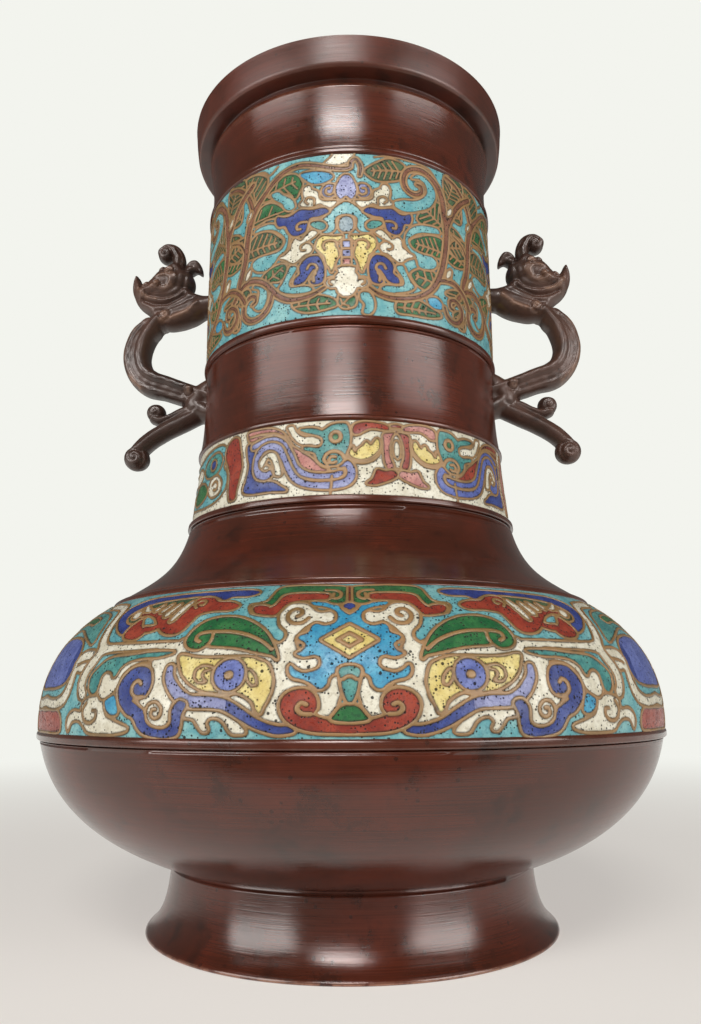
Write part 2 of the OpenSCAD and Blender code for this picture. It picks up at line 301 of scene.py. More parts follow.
def bronze(name, base, dark, warm, rough, lines=1.0, edge=(0.52, 0.36, 0.24, 1.0)):
    """Patinated bronze: clouded brown, fine turning lines, dark stains, and rubbed edges in a lighter colour,
    which on the turned castings is also a painted highlight.
    """
    m = Nodes(name)
    cloud = m.noise(26, 4, 0.6)
    blotch = m.noise(75, 5, 0.65, move=3.1)
    turn = m.noise(1.0, 3, 0.7, m.stretched(24, 24, 2600, 0.4))
    fine = m.noise(1.0, 2, 0.6, m.stretched(90, 90, 7000, 1.7))
    grain = m.noise(1500, 2, 0.5, move=5.0)
    colour = m.mix(m.ramp(cloud, 0.35, 0.68), base, warm)
    colour = m.mix(m.ramp(blotch, 0.52, 0.72, 0.0, 0.7), colour, dark)
    colour = m.mix(m.math("MULTIPLY", m.ramp(turn, 0.42, 0.6), 0.35 * lines), colour, dark)
    stain, pick = m.spots(330, 2.0)
    freckle = m.math("MULTIPLY", m.ramp(stain, 0.16, 0.30, 1.0, 0.0), m.ramp(pick, 0.86, 0.9))
    colour = m.mix(m.math("MULTIPLY", freckle, 0.55), colour, dark)
    wear = m.attribute("wear")
    # lighter rubbed edges and crests: wear, and on the turned castings also a painted highlight
    rub_and_sheen = m.math("MULTIPLY", wear, m.ramp(m.noise(140, 4, 0.7, move=1.3), 0.34, 0.56))
    colour = m.mix(rub_and_sheen, colour, edge)
    polish = m.math("ADD", m.math("MULTIPLY", fine, 0.5), m.math("MULTIPLY", cloud, 0.5))
    roughness = m.ramp(polish, 0.36, 0.62, *rough)
    height = m.math("ADD", m.math("MULTIPLY", turn, 0.7 * lines), m.math("MULTIPLY", grain, 0.25))
    m.set(Base_Color=colour, Roughness=roughness, Normal=m.bump(height, 0.16, 0.0004))
    m.shader.inputs["Metallic"].default_value = 0.12
    m.shader.inputs["IOR"].default_value = 1.7
    if lines == 1.0:
        m.shader.inputs["Anisotropic"].default_value = 0.5
        m.shader.inputs["Anisotropic Rotation"].default_value = 0.25
    return m.material


def enamel(name, colour, light, dark, pits):
    """Opaque enamel: mottled colour, tiny black pits, grime along the walls."""
    m = Nodes(name)
    wall = m.attribute("wall")
    mottle = m.noise(170, 4, 0.6)
    grain = m.noise(900, 3, 0.6, move=2.2)
    tone = m.mix(m.ramp(mottle, 0.36, 0.66), colour, light)
    tone = m.mix(m.math("MULTIPLY", m.ramp(grain, 0.5, 0.66), 0.5), tone, dark)
    crowd = m.ramp(m.noise(55, 3, 0.6, move=9.0), 0.40, 0.62)
    pit, pick = m.spots(1050, 1.0)
    often = m.math("SUBTRACT", m.ramp(wall, 0.6, 2.2, 0.60, 0.90), m.math("MULTIPLY", crowd, 0.16 * pits))
    hole = m.math("MULTIPLY", m.ramp(pit, 0.22, 0.42, 1.0, 0.0), m.math("GREATER_THAN", pick, often))
    big, pick2 = m.spots(430, 4.0)
    rare = m.math("GREATER_THAN", pick2, 0.94 - 0.04 * pits)
    hole2 = m.math("MULTIPLY", m.ramp(big, 0.17, 0.27, 1.0, 0.0), rare)
    holes = m.math("MAXIMUM", hole, hole2)
    dirt = m.ramp(m.noise(420, 3, 0.6, move=7.0), 0.28, 0.56)
    grime = m.math("MULTIPLY", m.ramp(wall, 0.48, 1.15, 1.0, 0.0), dirt)
    tone = m.mix(m.math("MULTIPLY", grime, 0.85), tone, rgb(50, 38, 28))
    tone = m.mix(m.math("MULTIPLY", holes, 0.92), tone, rgb(22, 17, 14))
    height = m.math("SUBTRACT", m.math("MULTIPLY", m.noise(500, 3, 0.6, move=4.0), 0.35), holes)
    rough = m.ramp(grain, 0.3, 0.7, 0.26, 0.44)
    rough = m.math("MAXIMUM", rough, m.math("MULTIPLY", holes, 0.9))
    m.set(Base_Color=tone, Roughness=rough, Normal=m.bump(height, 0.5, 0.0003))
    m.shader.inputs["IOR"].default_value = 1.48
    return m.material


PATINA = rgb(72, 34, 22), rgb(40, 22, 16), rgb(90, 37, 21)
# the grey pink of the turned castings' rubbed edges, the colour of their highlights: wear and painted
# highlight
RUBBED_SHEEN = rgb(146, 104, 84)
BRONZE = bronze("bronze", *PATINA, rough=(0.13, 0.23), edge=RUBBED_SHEEN)
BRONZE_RIM = bronze("bronze_rim", *PATINA, rough=(0.3, 0.42), edge=RUBBED_SHEEN)
BRONZE_DARK = bronze("bronze_dark", rgb(64, 46, 39), rgb(29, 23, 20), rgb(84, 55, 43), rough=(0.28, 0.46),
    lines=0.0, edge=rgb(138, 104, 84))
INSIDE = bronze("bronze_inside", rgb(58, 34, 27), rgb(28, 19, 16), rgb(74, 42, 32), rough=(0.5, 0.7),
    lines=0.5)
WALLS = bronze("bronze_worn", rgb(114, 89, 53), rgb(62, 47, 32), rgb(146, 108, 66), rough=(0.34, 0.52),
    lines=0.0, edge=rgb(156, 122, 76))

# the letter used in the drawings, the name, the colour, its light and dark tones, and how pitted it is
ENAMELS = (
    ("T", "turquoise", (88, 149, 156), (124, 173, 173), (55, 105, 117), 1.0),
    ("C", "cerulean", (47, 128, 164), (79, 156, 184), (30, 86, 124), 1.0),
    ("B", "cobalt", (40, 53, 114), (60, 75, 138), (25, 32, 74), 1.0),
    ("G", "green", (32, 86, 51), (55, 111, 64), (21, 56, 36), 1.0),
    ("R", "red", (126, 47, 36), (149, 64, 47), (85, 32, 26), 1.0),
    ("W", "cream", (197, 191, 171), (216, 212, 196), (160, 149, 126), 1.5),
    ("Y", "yellow", (196, 175, 100), (212, 197, 132), (147, 120, 60), 1.0),
    ("K", "teal", (58, 118, 117), (86, 145, 137), (36, 79, 79), 1.0),
    ("L", "lavender", (109, 113, 156), (137, 141, 179), (73, 75, 113), 1.0),
    ("P", "pink", (158, 98, 92), (182, 128, 117), (115, 64, 62), 1.0),
    ("E", "grey", (102, 122, 132), (132, 149, 154), (68, 85, 92), 1.0),
    ("V", "brown", (111, 71, 55), (133, 92, 70), (77, 49, 38), 0.6),
    ("D", "leaf", (60, 83, 58), (83, 103, 73), (38, 53, 39), 1.0),
    ("N", "violet", (76, 88, 150), (100, 112, 172), (50, 58, 108), 1.0),
)
GLAZES = {}
for letter, label, colour, light, dark, pits in ENAMELS:
    GLAZES[letter] = label, enamel("enamel_" + label, rgb(*colour), rgb(*light), rgb(*dark), pits)

# the record's slot for the tones that have none of their own
NEAREST = {"teal": "enamel_turquoise", "brown": "enamel_red", "leaf": "enamel_green",
    "violet": "enamel_lavender"}
SLOTS = {m["slot"] for m in frame["record"]["materials"]}


# ---------------------------------------------------------------- the ornament on a flat band

WALL = 0.98   # width of the walls between the enamels
GROW = 0.5    # the drawn outlines are the enamels' edges, so each cell grows to the middle of its wall
HAND = 0.22   # how far the drawn lines wander
SINK = 0.16   # depth of the enamel below the walls
CROWN = 0.10  # how far the walls stand up in their middle


class Band:
    """One repeat of the ornament, drawn on a grid in millimetres.

    B is the distance to the nearest wall's middle line, and C the enamel at each point.
    A shape covers what lies under it, as a painter works."""

    def __init__(self, u0, u1, v0, v1, ground, step, period=None, seed=3):
        self.nu, self.nv = int(round((u1 - u0) / step)), int(round((v1 - v0) / step))
        self.u = np.linspace(u0, u1, self.nu + 1)
        self.v = np.linspace(v0, v1, self.nv + 1)
        u, v = np.meshgrid(self.u, self.v)
        shape = u.shape
        self.x = (u + HAND * value_noise(shape, 9 / step, seed)).astype(np.float32)
        self.y = (v + HAND * value_noise(shape, 9 / step, seed + 1)).astype(np.float32)
        self.b = np.full(shape, 9.0, np.float32)
        self.c = np.full(shape, ground)
        self.period = period

    def field(self, kind, pts, w):
        """Signed distance to one part, negative inside, worked out only in the box of the grid that the part
        fills, and 99 elsewhere.
        """
        out = np.full(self.x.shape, 99.0, np.float32)
        reach = 4 + (max(w) if hasattr(w, "__len__") else w)
        shifts = (0,) if not self.period else (0, -self.period, self.period)
        for move in shifts:
            lo = pts[:, :2].min(0) - reach + (move, 0)
            hi = pts[:, :2].max(0) + reach + (move, 0)
            j = np.searchsorted(self.u, (lo[0] - 1, hi[0] + 1))
            i = np.searchsorted(self.v, (lo[1] - 1, hi[1] + 1))
            if j[0] >= j[1] or i[0] >= i[1]:
                continue
            at = (slice(i[0], i[1]), slice(j[0], j[1]))
            x, y = self.x[at] - move, self.y[at]
            if kind == "disc":
                d = np.hypot(x - pts[0, 0], y - pts[0, 1]) - w
            elif kind == "stroke":
                d, place = seg_distance(x, y, pts, False)
                d = d - (np.interp(place, np.linspace(0, 1, len(w)), w) if hasattr(w, "__len__") else w)
            else:
                d, _ = seg_distance(x, y, pts, True)
                d = np.where(inside(x, y, pts), -d, d)
            out[at] = np.minimum(out[at], d)
        return out

    def paint(self, colour, *parts):
        """An enamelled cell made of one part or of several that run together."""
        d = np.min([self.field(*p) for p in parts], 0) - GROW
        inner = d < 0
        self.b = np.where(inner, -d, np.minimum(self.b, d))
        self.c[inner] = colour

    def tint(self, colour, old, u0, u1):
        """Another enamel in a part of a cell, with no wall between the two."""
        self.c[(self.c == old) & (self.x > u0) & (self.x < u1)] = colour

    def wall(self, pts, width=WALL):
        """A wall of its own, such as a spiral or a vein."""
        d = self.field("stroke", pts, 0.0) - (width - WALL) / 2
        self.b = np.minimum(self.b, np.maximum(d, 0))

    def pair(self, colour, *parts):
        """The same cell on both sides of the middle."""
        self.paint(colour, *parts)
        self.paint(colour, *[(kind, pts * (-1, 1), w) for kind, pts, w in parts])

    def walls(self, pts, width=WALL):
        """The same wall on both sides of the middle."""
        self.wall(pts, width)
        self.wall(pts * (-1, 1), width)


def blob(text, axis=None):
    """A closed curve. With an axis, the points are one half and the other half mirrors them."""
    p = nums(text)
    if axis is not None:
        q = np.stack([2 * axis - p[:, 0], p[:, 1]], 1)[::-1]
        keep = np.abs(q[:, 0] - axis) > 0.01
        p = np.vstack([p, q[keep]])
    return "blob", smooth(p), 0.0


def disc(x, y, r):
    """A round cell."""
    return "disc", np.array([[x, y]], float), r


def run(text):
    """An open curve through the points."""
    return smooth(nums(text), False)


def stroke(text, w):
    """A ribbon along a curve. w is half its width, or several values from its start to its end."""
    return "stroke", run(text), w


def corners(text):
    """A closed shape with straight sides."""
    return "blob", nums(text), 0.0


def palmette(band, outline, root, tip, colour, veins):
    """A leaf with its own outline, a middle rib from its root to its tip, and slanting veins."""
    rim = smooth(nums(outline))
    band.paint(colour, ("blob", rim, 0.0))
    a, b = np.array(root, float), np.array(tip, float)
    band.wall(np.array([a, a + 0.9 * (b - a)]), 0.8)
    n = np.array([a[1] - b[1], b[0] - a[0]]) / np.hypot(*(b - a))
    for k in range(veins):
        p = a + (b - a) * (0.12 + 0.68 * k / max(1, veins - 1))
        for side in (1, -1):
            ray = n * side + 0.5 * (b - a) / np.hypot(*(b - a))
            reach = np.arange(0.5, 14, 0.5)
            out = p + reach[:, None] * ray
            within = inside(out[:, 0], out[:, 1], rim)
            end = reach[within.argmin() - 1] if not within.all() and within.argmin() > 0 else 1.0
            if end > 1.5:
                band.wall(np.array([p, p + (end - 0.7) * ray]), 0.75)


def region(field):
    """Marching squares: the part of a grid where the field is above 0, with a clean outline.

    Gives, for each point, its place on the grid (row, column); the faces by number of corners;
    and the outline's edges. The columns close round on themselves."""
    nv, nu = field.shape
    ins = field > 0
    nxt = np.roll(np.arange(nu), -1)
    a, b = ins[:-1], ins[:-1][:, nxt]
    d, c = ins[1:], ins[1:][:, nxt]
    code = a + 2 * b + 4 * c + 8 * d
    gid = np.full((nv, nu), -1)
    gid[ins] = np.arange(ins.sum())
    gi, gj = np.nonzero(ins)
    rows, places = [gi.astype(float)], [gj.astype(float)]
    count = len(gi)

    def crossing(one, two, di, dj):
        nonlocal count
        cut = (one > 0) != (two > 0)
        ids = np.full(one.shape, -1)
        i, j = np.nonzero(cut)
        t = np.clip(one[i, j] / (one[i, j] - two[i, j]), 0.06, 0.94)
        ids[i, j] = count + np.arange(len(i))
        count += len(i)
        rows.append(i + t * di)
        places.append(j + t * dj)
        return ids

    hid = crossing(field, field[:, nxt], 0, 1)
    vid = crossing(field[:-1], field[1:], 1, 0)
    corner = {
        "a": gid[:-1], "b": gid[:-1][:, nxt], "d": gid[1:], "c": gid[1:][:, nxt],
        "0": hid[:-1], "2": hid[1:], "3": vid, "1": vid[:, nxt],
    }
    shapes = {1: ["a03"], 2: ["b10"], 3: ["ab13"], 4: ["c21"], 5: ["a03", "c21"], 6: ["bc20"], 7: ["abc23"],
              8: ["d32"], 9: ["a02d"], 10: ["b10", "d32"], 11: ["ab12d"], 12: ["cd31"], 13: ["a01cd"],
              14: ["bcd30"], 15: ["abcd"]}
    edges = {1: ["03"], 2: ["10"], 3: ["13"], 4: ["21"], 5: ["03", "21"], 6: ["20"], 7: ["23"], 8: ["32"],
        9: ["02"], 10: ["10", "32"], 11: ["12"], 12: ["31"], 13: ["01"], 14: ["30"]}
    faces, rim = {3: [], 4: [], 5: []}, []
    for key, polys in shapes.items():
        at = code == key
        if at.any():
            for poly in polys:
                faces[len(poly)].append(np.stack([corner[k][at] for k in poly], 1))
            for e in edges.get(key, ()):
                rim.append(np.stack([corner[k][at] for k in e], 1))
    faces = [np.vstack(f) for f in faces.values() if f]
    return np.concatenate(rows), np.concatenate(places), faces, np.vstack(rim)


class Wrap:
    """The band's surface: places on its grid become points on the turned body.

    line is the surface as radius and height, offset is the drawing's v where the line starts,
    and angle0 is where the drawing's left end lies round the body."""

    def __init__(self, line, offset, angle0):
        arc = np.concatenate([[0], np.cumsum(np.hypot(*np.diff(line, axis=0).T))])
        self.s, self.line = arc + offset, line
        slope = np.gradient(line, self.s, axis=0)
        self.normal = np.stack([slope[:, 1], -slope[:, 0]], 1)
        self.normal /= np.hypot(*self.normal.T)[:, None]
        self.angle0 = angle0

    def points(self, v, turn, lift):
        """v in millimetres up the band, turn in radians, lift in millimetres off the surface."""
        def at(values):
            out = np.interp(v, self.s, values)
            low, high = v < self.s[0], v > self.s[-1]
            for m, k, o in ((low, 0, 1), (high, -1, -2)):
                slope = (values[k] - values[o]) / (self.s[k] - self.s[o])
                out = np.where(m, values[k] + slope * (v - self.s[k]), out)
            return out
        nr = np.interp(v, self.s, self.normal[:, 0])
        nz = np.interp(v, self.s, self.normal[:, 1])
        r = at(self.line[:, 0]) + lift * nr
        z = at(self.line[:, 1]) + lift * nz
        th = self.angle0 + turn
        return np.stack([r * np.sin(th), -r * np.cos(th), z], 1)


def sample(grid, i, j):
    """Values between the points of a grid that closes round."""
    nv, nu = grid.shape
    i0 = np.clip(np.floor(i).astype(int), 0, nv - 1)
    i1 = np.minimum(i0 + 1, nv - 1)
    j0 = np.floor(j).astype(int) % nu
    j1 = (j0 + 1) % nu
    fi, fj = i - np.floor(i), j - np.floor(j)
    return (grid[i0, j0] * (1 - fi) * (1 - fj) + grid[i0, j1] * (1 - fi) * fj
            + grid[i1, j0] * fi * (1 - fj) + grid[i1, j1] * fi * fj)


def fit_band(name, band, wrap, repeats, nodes, mirrored=True, other=None):
    """Turns the drawing into enamel pieces, one for each colour, and one bronze network.

    A mirrored band continues with its own mirror image, where other gives the colours that change."""
    b, c = band.b, band.c
    if mirrored:
        b = np.hstack([b, b[:, -2:0:-1]])
        half = c[:, -2:0:-1]
        c = np.hstack([c, np.vectorize(lambda key: (other or {}).get(key, key))(half)])
    else:
        b, c = b[:, :-1], c[:, :-1]
    b, c = np.tile(b, (1, repeats)), np.tile(c, (1, repeats))
    nv, nu = b.shape
    dv = band.v[1] - band.v[0]
    turn = 2 * math.pi / nu
    half = WALL / 2 * (1 + 0.10 * value_noise(b.shape, 8, 21) + 0.10 * value_noise(b.shape, 30, 22))
    wave = value_noise(b.shape, 14, 31)
    fine = value_noise(b.shape, 4, 32)

    def piece(part, field, lift_of, depth, material, slot, attribute):
        rows, cols, faces, rim = region(field)
        d = sample(b, rows, cols)
        v = band.v[0] + rows * dv
        top = wrap.points(v, cols * turn, lift_of(d, rows, cols))
        low = wrap.points(v, cols * turn, np.full(len(v), -depth))
        used, back = np.unique(rim, return_inverse=True)
        back = back.reshape(rim.shape) + len(top)
        skirt = np.stack([rim[:, 1], rim[:, 0], back[:, 0], back[:, 1]], 1)
        verts = np.vstack([top, low[used]])
        if attribute == "wall":
            d = np.minimum(d, 0.5 + np.minimum(rows, nv - 1 - rows) * dv)
        values = np.concatenate([d, d[used]])
        four = [f for f in faces if f.shape[1] == 4]
        faces = [f for f in faces if f.shape[1] != 4] + [np.vstack(four + [skirt])]
        return new_object(part, verts, faces, material, {attribute: values})

    def wall_lift(d, rows, cols):
        w = sample(half, rows, cols)
        return CROWN * (1 - np.clip(d / w, 0, 1) ** 2) + 0.03 * sample(wave, rows, cols)

    def enamel_lift(d, rows, cols):
        dish = np.clip((d - WALL / 2) / 2.2, 0, 1)
        uneven = 0.05 * sample(wave, rows, cols) + 0.025 * sample(fine, rows, cols)
        return -SINK - 0.10 * dish * (2 - dish) + uneven

    network = piece(name + "_walls", half - b, wall_lift, 0.7, WALLS, "bronze_worn", "wear")
    worn = np.empty(len(network.data.vertices), np.float32)
    attribute = network.data.attributes["wear"].data
    attribute.foreach_get("value", worn)
    attribute.foreach_set("value", np.clip(1 - worn / (WALL / 2), 0, 1).astype(np.float32) * 0.7)
    for key in GLAZES:
        here = c == key
        if here.any():
            label, material = GLAZES[key]
            slot = "enamel_" + label
            if slot not in SLOTS:
                slot = NEAREST[label]
            cells = np.where(here, b + 0.02, -b - 0.02)
            piece(f"{name}_enamel_{label}", cells, enamel_lift, 1.0, material, slot, "wall")
    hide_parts(*nodes)


# ---------------------------------------------------------------- the three drawings

def body_drawing():
    """Half of one mask, from its axis (0) to the next axis (123.6). v runs from the lower seam upwards."""
    t = Band(0, 123.6, 5.2, 66.4, "T", step=0.515)
    end = 123.6
    # the blue panel at the next axis
    t.paint("K", blob("123.6,55.5 112,54 104,51 100,46 97.5,38 103,39.5 110,42.5 117,45 123.6,46", end))
    t.paint("B", blob("123.6,41.5 116,41.2 109,39.5 104.5,36 103,31 104,26.5 107,23.4 114,22.2 123.6,22",
        end))
    t.tint("N", "B", 108, 124)
    t.paint("R", blob("123.6,13.8 116,14 109,13.9 105.4,12 104.4,8.6 106,7 112,6.8 123.6,7", end))
    t.paint("G", blob("123.6,52.5 117,51.8 111,49.8 113,48 119,49 123.6,49.4", end))
    # the wing with its fish head
    t.paint("B", blob("33,58.5 36,60.6 45,61 60,60.8 75,60.5 86,59.5 92,56 93,51 90,46 86,42.5 81.5,40.8"
        " 80,42.5 82,47 80,53 74,57 62,56.8 50,57 45,54.8 42,56.5 36,56.5"))
    t.paint("D", blob("56,56.6 64,57 72,56.4 79,55 84,52.6 86,49.6 84,46.6 79,46 72,50 66,46 60,44 57,49"))
    t.paint("R", blob("37.6,50.6 38.6,52 42,53.5 47,54 50,56.3 54,57.2 57,56 58,50 60,44.5 64,47.5 68,49.5"
        " 74,52 79,51 79,49 75,49 70,47 66,43 62,40 58,39.3 55,40.5 53,44 51,47.5 46,49 40,49"), blob("71,41"
        " 72,39 75,38 79,39 80.5,41.5 79,45 76.5,47 74,43.5"), stroke("66,43 69,42 72,42", 1.2))
    t.wall(run("54.5,51 56,53 54.5,55.2 52.3,54.3 52.4,52.3 53.7,52.6"), 1.2)
    for tooth, w in (("58.5,54.5 60,50 61.5,45.5", (0.8, 1.3, 0.7)), ("63.5,53.5 65.5,48.5", (0.7, 1.1)),
        ("67.5,54 69,50.5", (0.6, 0.9)), ("72,54 73,51.5", (0.5, 0.8)), ("76.5,51.5 79,52.2 81,54",
        (0.5, 0.9, 0.6))):
        t.paint("W", stroke(tooth, w))
    t.paint("W", blob("80.5,49 81.2,51.2 83.4,51.4 84.2,49.6 83,48 81.2,47.8"))
    # pale frame and scrolls under the wing
    t.paint("W", blob("123.6,18.6 118,18 111,17.8 106,19.4 103.6,22.6 102.6,27 102.8,31 100.6,34 96,34.8"
        " 91,34 89,31.5 90,28.5 93,27 97,27 99.4,27 99.6,22 101,18.4 104.4,15.8 110,14.8 117,15 123.6,15.6",
        end))
    t.wall(run("93,31 97,30.6 100.5,29.6"), 1.1)
    t.paint("W", blob("67.5,8.8 74,11 77.5,12.5 78.5,16 81,18 85.5,18.3 89.5,17 90.5,14.5 91,13.5 95,13.8"
        " 98,12.5 99.5,10 98.5,7.5 96.5,10 94,11 91,10.8 88.5,9.3 86,7.5 80,7 72,7.4"))
    t.wall(run("88,16.5 89.7,14 88.3,11 85,10.2 82.3,11.5 82.2,13.8 84,14"), 1.2)
    t.paint("C", blob("72,13.3 72.5,16 73.8,18.5 76,19 78,17.3 77.5,14.5 75,12.8"))
    t.paint("W", blob("28.5,8 31,11 34.5,13.6 38.5,14.6 42,15 46,14.3 46.8,12.5 44,11.8 42.5,10 41,8.2"
        " 39.5,8.5 40.2,10.5 38.8,12.2 36.3,12 34.3,10.6 32.5,8 30.5,7.5"))
    # the pale face round the eye, the antler and the finger
    t.paint("W", blob("2.2,24.4 2.4,20 3.4,16.5 4.6,13.2 8,10.4 12,9.6 17,9 21,9.2 25.5,11.4 30,14.2 35,16.8"
        " 40,18 45,18 48,19 50.6,21.2 53,24.6 54.6,27.6 58,29.4 60.4,30.6 58,33.4 54,34 53,36.9 49,37.4"
        " 42,36.5 30,35 23.5,35.4 21,34.4 18.6,33.6 15,31.6 10,31 6,29 3.4,26.4"), blob("14.2,30 15.3,33"
        " 16.2,36 15,38.5 12.6,41.2 9.6,42.2 6.4,41.3 3.9,43 4,45.6 6,46.8 9,46.4 11.4,47.6 13.6,50.4 17,51.4"
        " 20.6,50 22,46.6 21.5,43 20.5,41 19,39.5 18.4,37.5 19,35.5 20.8,33.6 20,31"), blob("48,33.4 50,36"
        " 60,36.1 72,36.1 80,36.3 87.6,37 91,42 93,48 95.5,53.5 100,57.6 112,60 118,60.6 117,57.6 108,56.2"
        " 101,54.6 97,50 95,44 93,38.5 91,34.5 93.5,29.5 95,24.5 93.4,19 90.5,17.6 89.6,19.6 91,22 91,25.6"
        " 88.5,30 86,33.2 78,33.8 70,34 60,33.8 54,31"), blob("54,27 52.4,22 50.2,18.4 50.2,13.6 52,10.2"
        " 56,9.4 59.6,11.6 61.5,15 64,17.6 62.5,20 60.5,22 60.6,26 61.5,29.4 60,31.4 56,30.6"), blob("59,28"
        " 62,29.4 68,29 72.2,26 73.6,22.6 74.6,20.4 77,18.8 80,17.8 82.2,20 82.8,24 81,26.8 78,26.4 76.6,24.6"
        " 75.2,25.6 73.8,28.2 70,30.6 62,31.4"))
    t.paint("K", blob("54.5,32.6 60,32.8 68,32.3 76,31.6 82,30.6 86,28 88.5,25 88,21.5 86,19.5 83.8,20"
        " 83.1,22.5 82.6,25.4 80.4,26.9 78,26.4 76.5,24.9 75.4,25.6 74.2,28 71,30.1 66,30.9 60,31"))
    t.wall(run("12.7,44.2 14.5,42.4 17.3,42.3 19.2,44.2 19.3,46.6 17.6,48.5 15.6,48 15.1,46.2 16.4,45.2"),
        1.35)
    # the ribbon below the eye and the hook beside it
    t.paint("L", stroke("15.6,9 20,8.8 25,10.2 30,13.2 35,15.8 40,16.6 45,16.8 48,17.8 51,20.3 53.5,24 54,27",
        (0.9, 1.2, 1.3, 1.5, 1.6, 1.7, 1.7, 1.8, 1.7, 1.5, 1.2)))
    t.tint("B", "L", 0, 34.5)
    t.paint("B", blob("60,24 61.5,27 65,28 69,27 72.5,22.5 72,17.5 68.5,13.5 65.5,12 63,8.5 60,6.8 54,6.2"
        " 49.5,7 48.3,9.5 47.8,13 46.6,16 49,17 51,14.6 51.3,10.5 54,8.8 58,9.2 60.5,11 61.5,14 64,15.7"
        " 66.5,17.5 61.5,19 60,21.5"))
    t.wall(run("62.5,18.5 65,18.3 67,20 66.7,22.3 65,23.5 63.8,22.5"), 1.3)
    t.wall(run("61,13.8 59.8,16.2 57,16.8 54.9,15 55.2,12.8 57,11.9 58.6,12.9 58.2,14.6 57,14.6"), 1.2)
    # the leaf over the eye
    t.paint("G", blob("20.5,29.5 22,33.5 25,38.5 29,42 34,44.6 39,45.6 44,45.3 48,43.3 50.5,40 51.3,37"
        " 50.5,35 48.5,33.8 45.5,33.6 43.3,35 41.5,34.5 38,34 33,33.3 28,32 24,31 22,30.6"))
    t.wall(run("22.5,32.5 26,35.5 31,38 36,39.3 41,39.7 45,39.7 47.5,38.8 47.8,37 46.3,36.2"), 1.3)
    t.wall(run("42.5,39.5 42.3,36.8 43,34.8"), 1.1)
    # the eye
    t.paint("Y", blob("21.5,24 23,27.5 26,29 29,29.8 34,30 40,30 46,30.6 50.5,31.5 51.8,31 50.8,28.5 49,25"
        " 46,22.2 42,20.3 38,19.6 34,19 31,19.5 27,17.3 25.5,14.5 24.4,13.6 23.5,15.5 22,18.5 21.3,21.5"))
    t.wall(run("25.6,21.6 25.9,24 27.8,26.2 29,25.6 28.4,23.2 27,21.4 25.6,21.6"), 0.9)
    t.paint("N", disc(34.2, 24.7, 4.7))
    t.wall(nums("34.1,24.7 34.4,24.7"), 2.6)
    t.wall(run("39.4,27.2 42.4,27.9 44.8,26.6 45.2,24 43.4,22.4 41.2,22.8 42.6,24.4 42,26 40.2,26.4"), 0.9)
    # red crescent, green half disc and nose at the axis
    t.paint("R", blob("0,8 8,8 13,9 17,11.5 18.7,15 18,18 15.5,19.8 12,20 9.5,18 9,15 10,13 8,11.9 4,11.2"
        " 0,11", 0))
    t.wall(run("10.5,13 13,13.3 14.2,14.8 13.2,16.3 11.8,15.8"), 1.3)
    t.paint("G", blob("0,15.8 2.5,15 4.2,13 4.8,11.6 0,11.2", 0))
    # the blue cross with its pale bloom
    cross = blob("0,45.5 2.5,47.5 4,50 6,51 12.5,52 12,50.2 8,49 5.5,47.7 4,46 3.8,43.5 5,41.8 7.5,41 10,41.8"
        " 11.5,40.8 12.2,38.5 14.8,37.2 14.8,36 13,34.6 12.8,33.4 13.8,31.8 15.2,31 13,30 10,30.5 8.3,29.5"
        " 8,27.5 9,26 11,25.2 13,25 15,26 16.5,27.3 16.8,25.5 15.5,23.7 12.5,22.8 10,21.3 8.8,20.2 7.5,20.3"
        " 6.3,21.5 5.8,23.3 4.5,24.6 3,24.8 1.5,27 0,27.2", 0)
    t.paint("C", cross)
    t.paint("K", blob("0,27 2,26.6 3,25.5 2.4,23.3 1.7,19.5 0.8,17 0,16.6", 0))
    t.wall(run("-1.6,23 0,23.9 1.6,23"), 1.1)
    t.paint("B", blob("0,51.9 1.5,50.8 2,49.4 1.2,48.1 0,47.6", 0))
    t.wall(nums("1.4,48 0,46"), 1.2)
    t.paint("Y", corners("8,35.6 0,41.2 -8,35.6 0,30"))
    t.wall(nums("3.5,35.6 0,38.1 -3.5,35.6 0,33.1 3.5,35.6"), 1.2)
    # the brows
    t.paint("G", blob("0.9,53.5 0.9,59 2,61.6 8,62.4 16,62.6 23.5,62.2 26,60.3 26.8,56.5 28,53 30.5,51.6"
        " 33,51 32.6,48.8 31,47 28,47.5 20,52 10,54 7,52 4.5,51 2,51.5"))
    t.paint("R", blob("8,56.8 14,57.3 20,57 22.8,55.8 23.8,53 25,50.5 27.5,48.7 31,47.3 28,46.2 24,45.8"
        " 22.8,47.2 21.5,50 19,52.2 14,53 8,53.3 7,55"), blob("27,50 29.5,50.8 31.6,50.4 31.8,48.8 30.4,47"
        " 28.6,46.6 26.4,48.2"))
    t.wall(run("8.5,59.3 5,58.9 3.2,57 3.3,54.8 4.8,53.6 5.8,54.6 5.6,56.8"), 1.3)
    t.paint("R", ("stroke", nums("0,52.6 0,61"), 0.5))
    return t


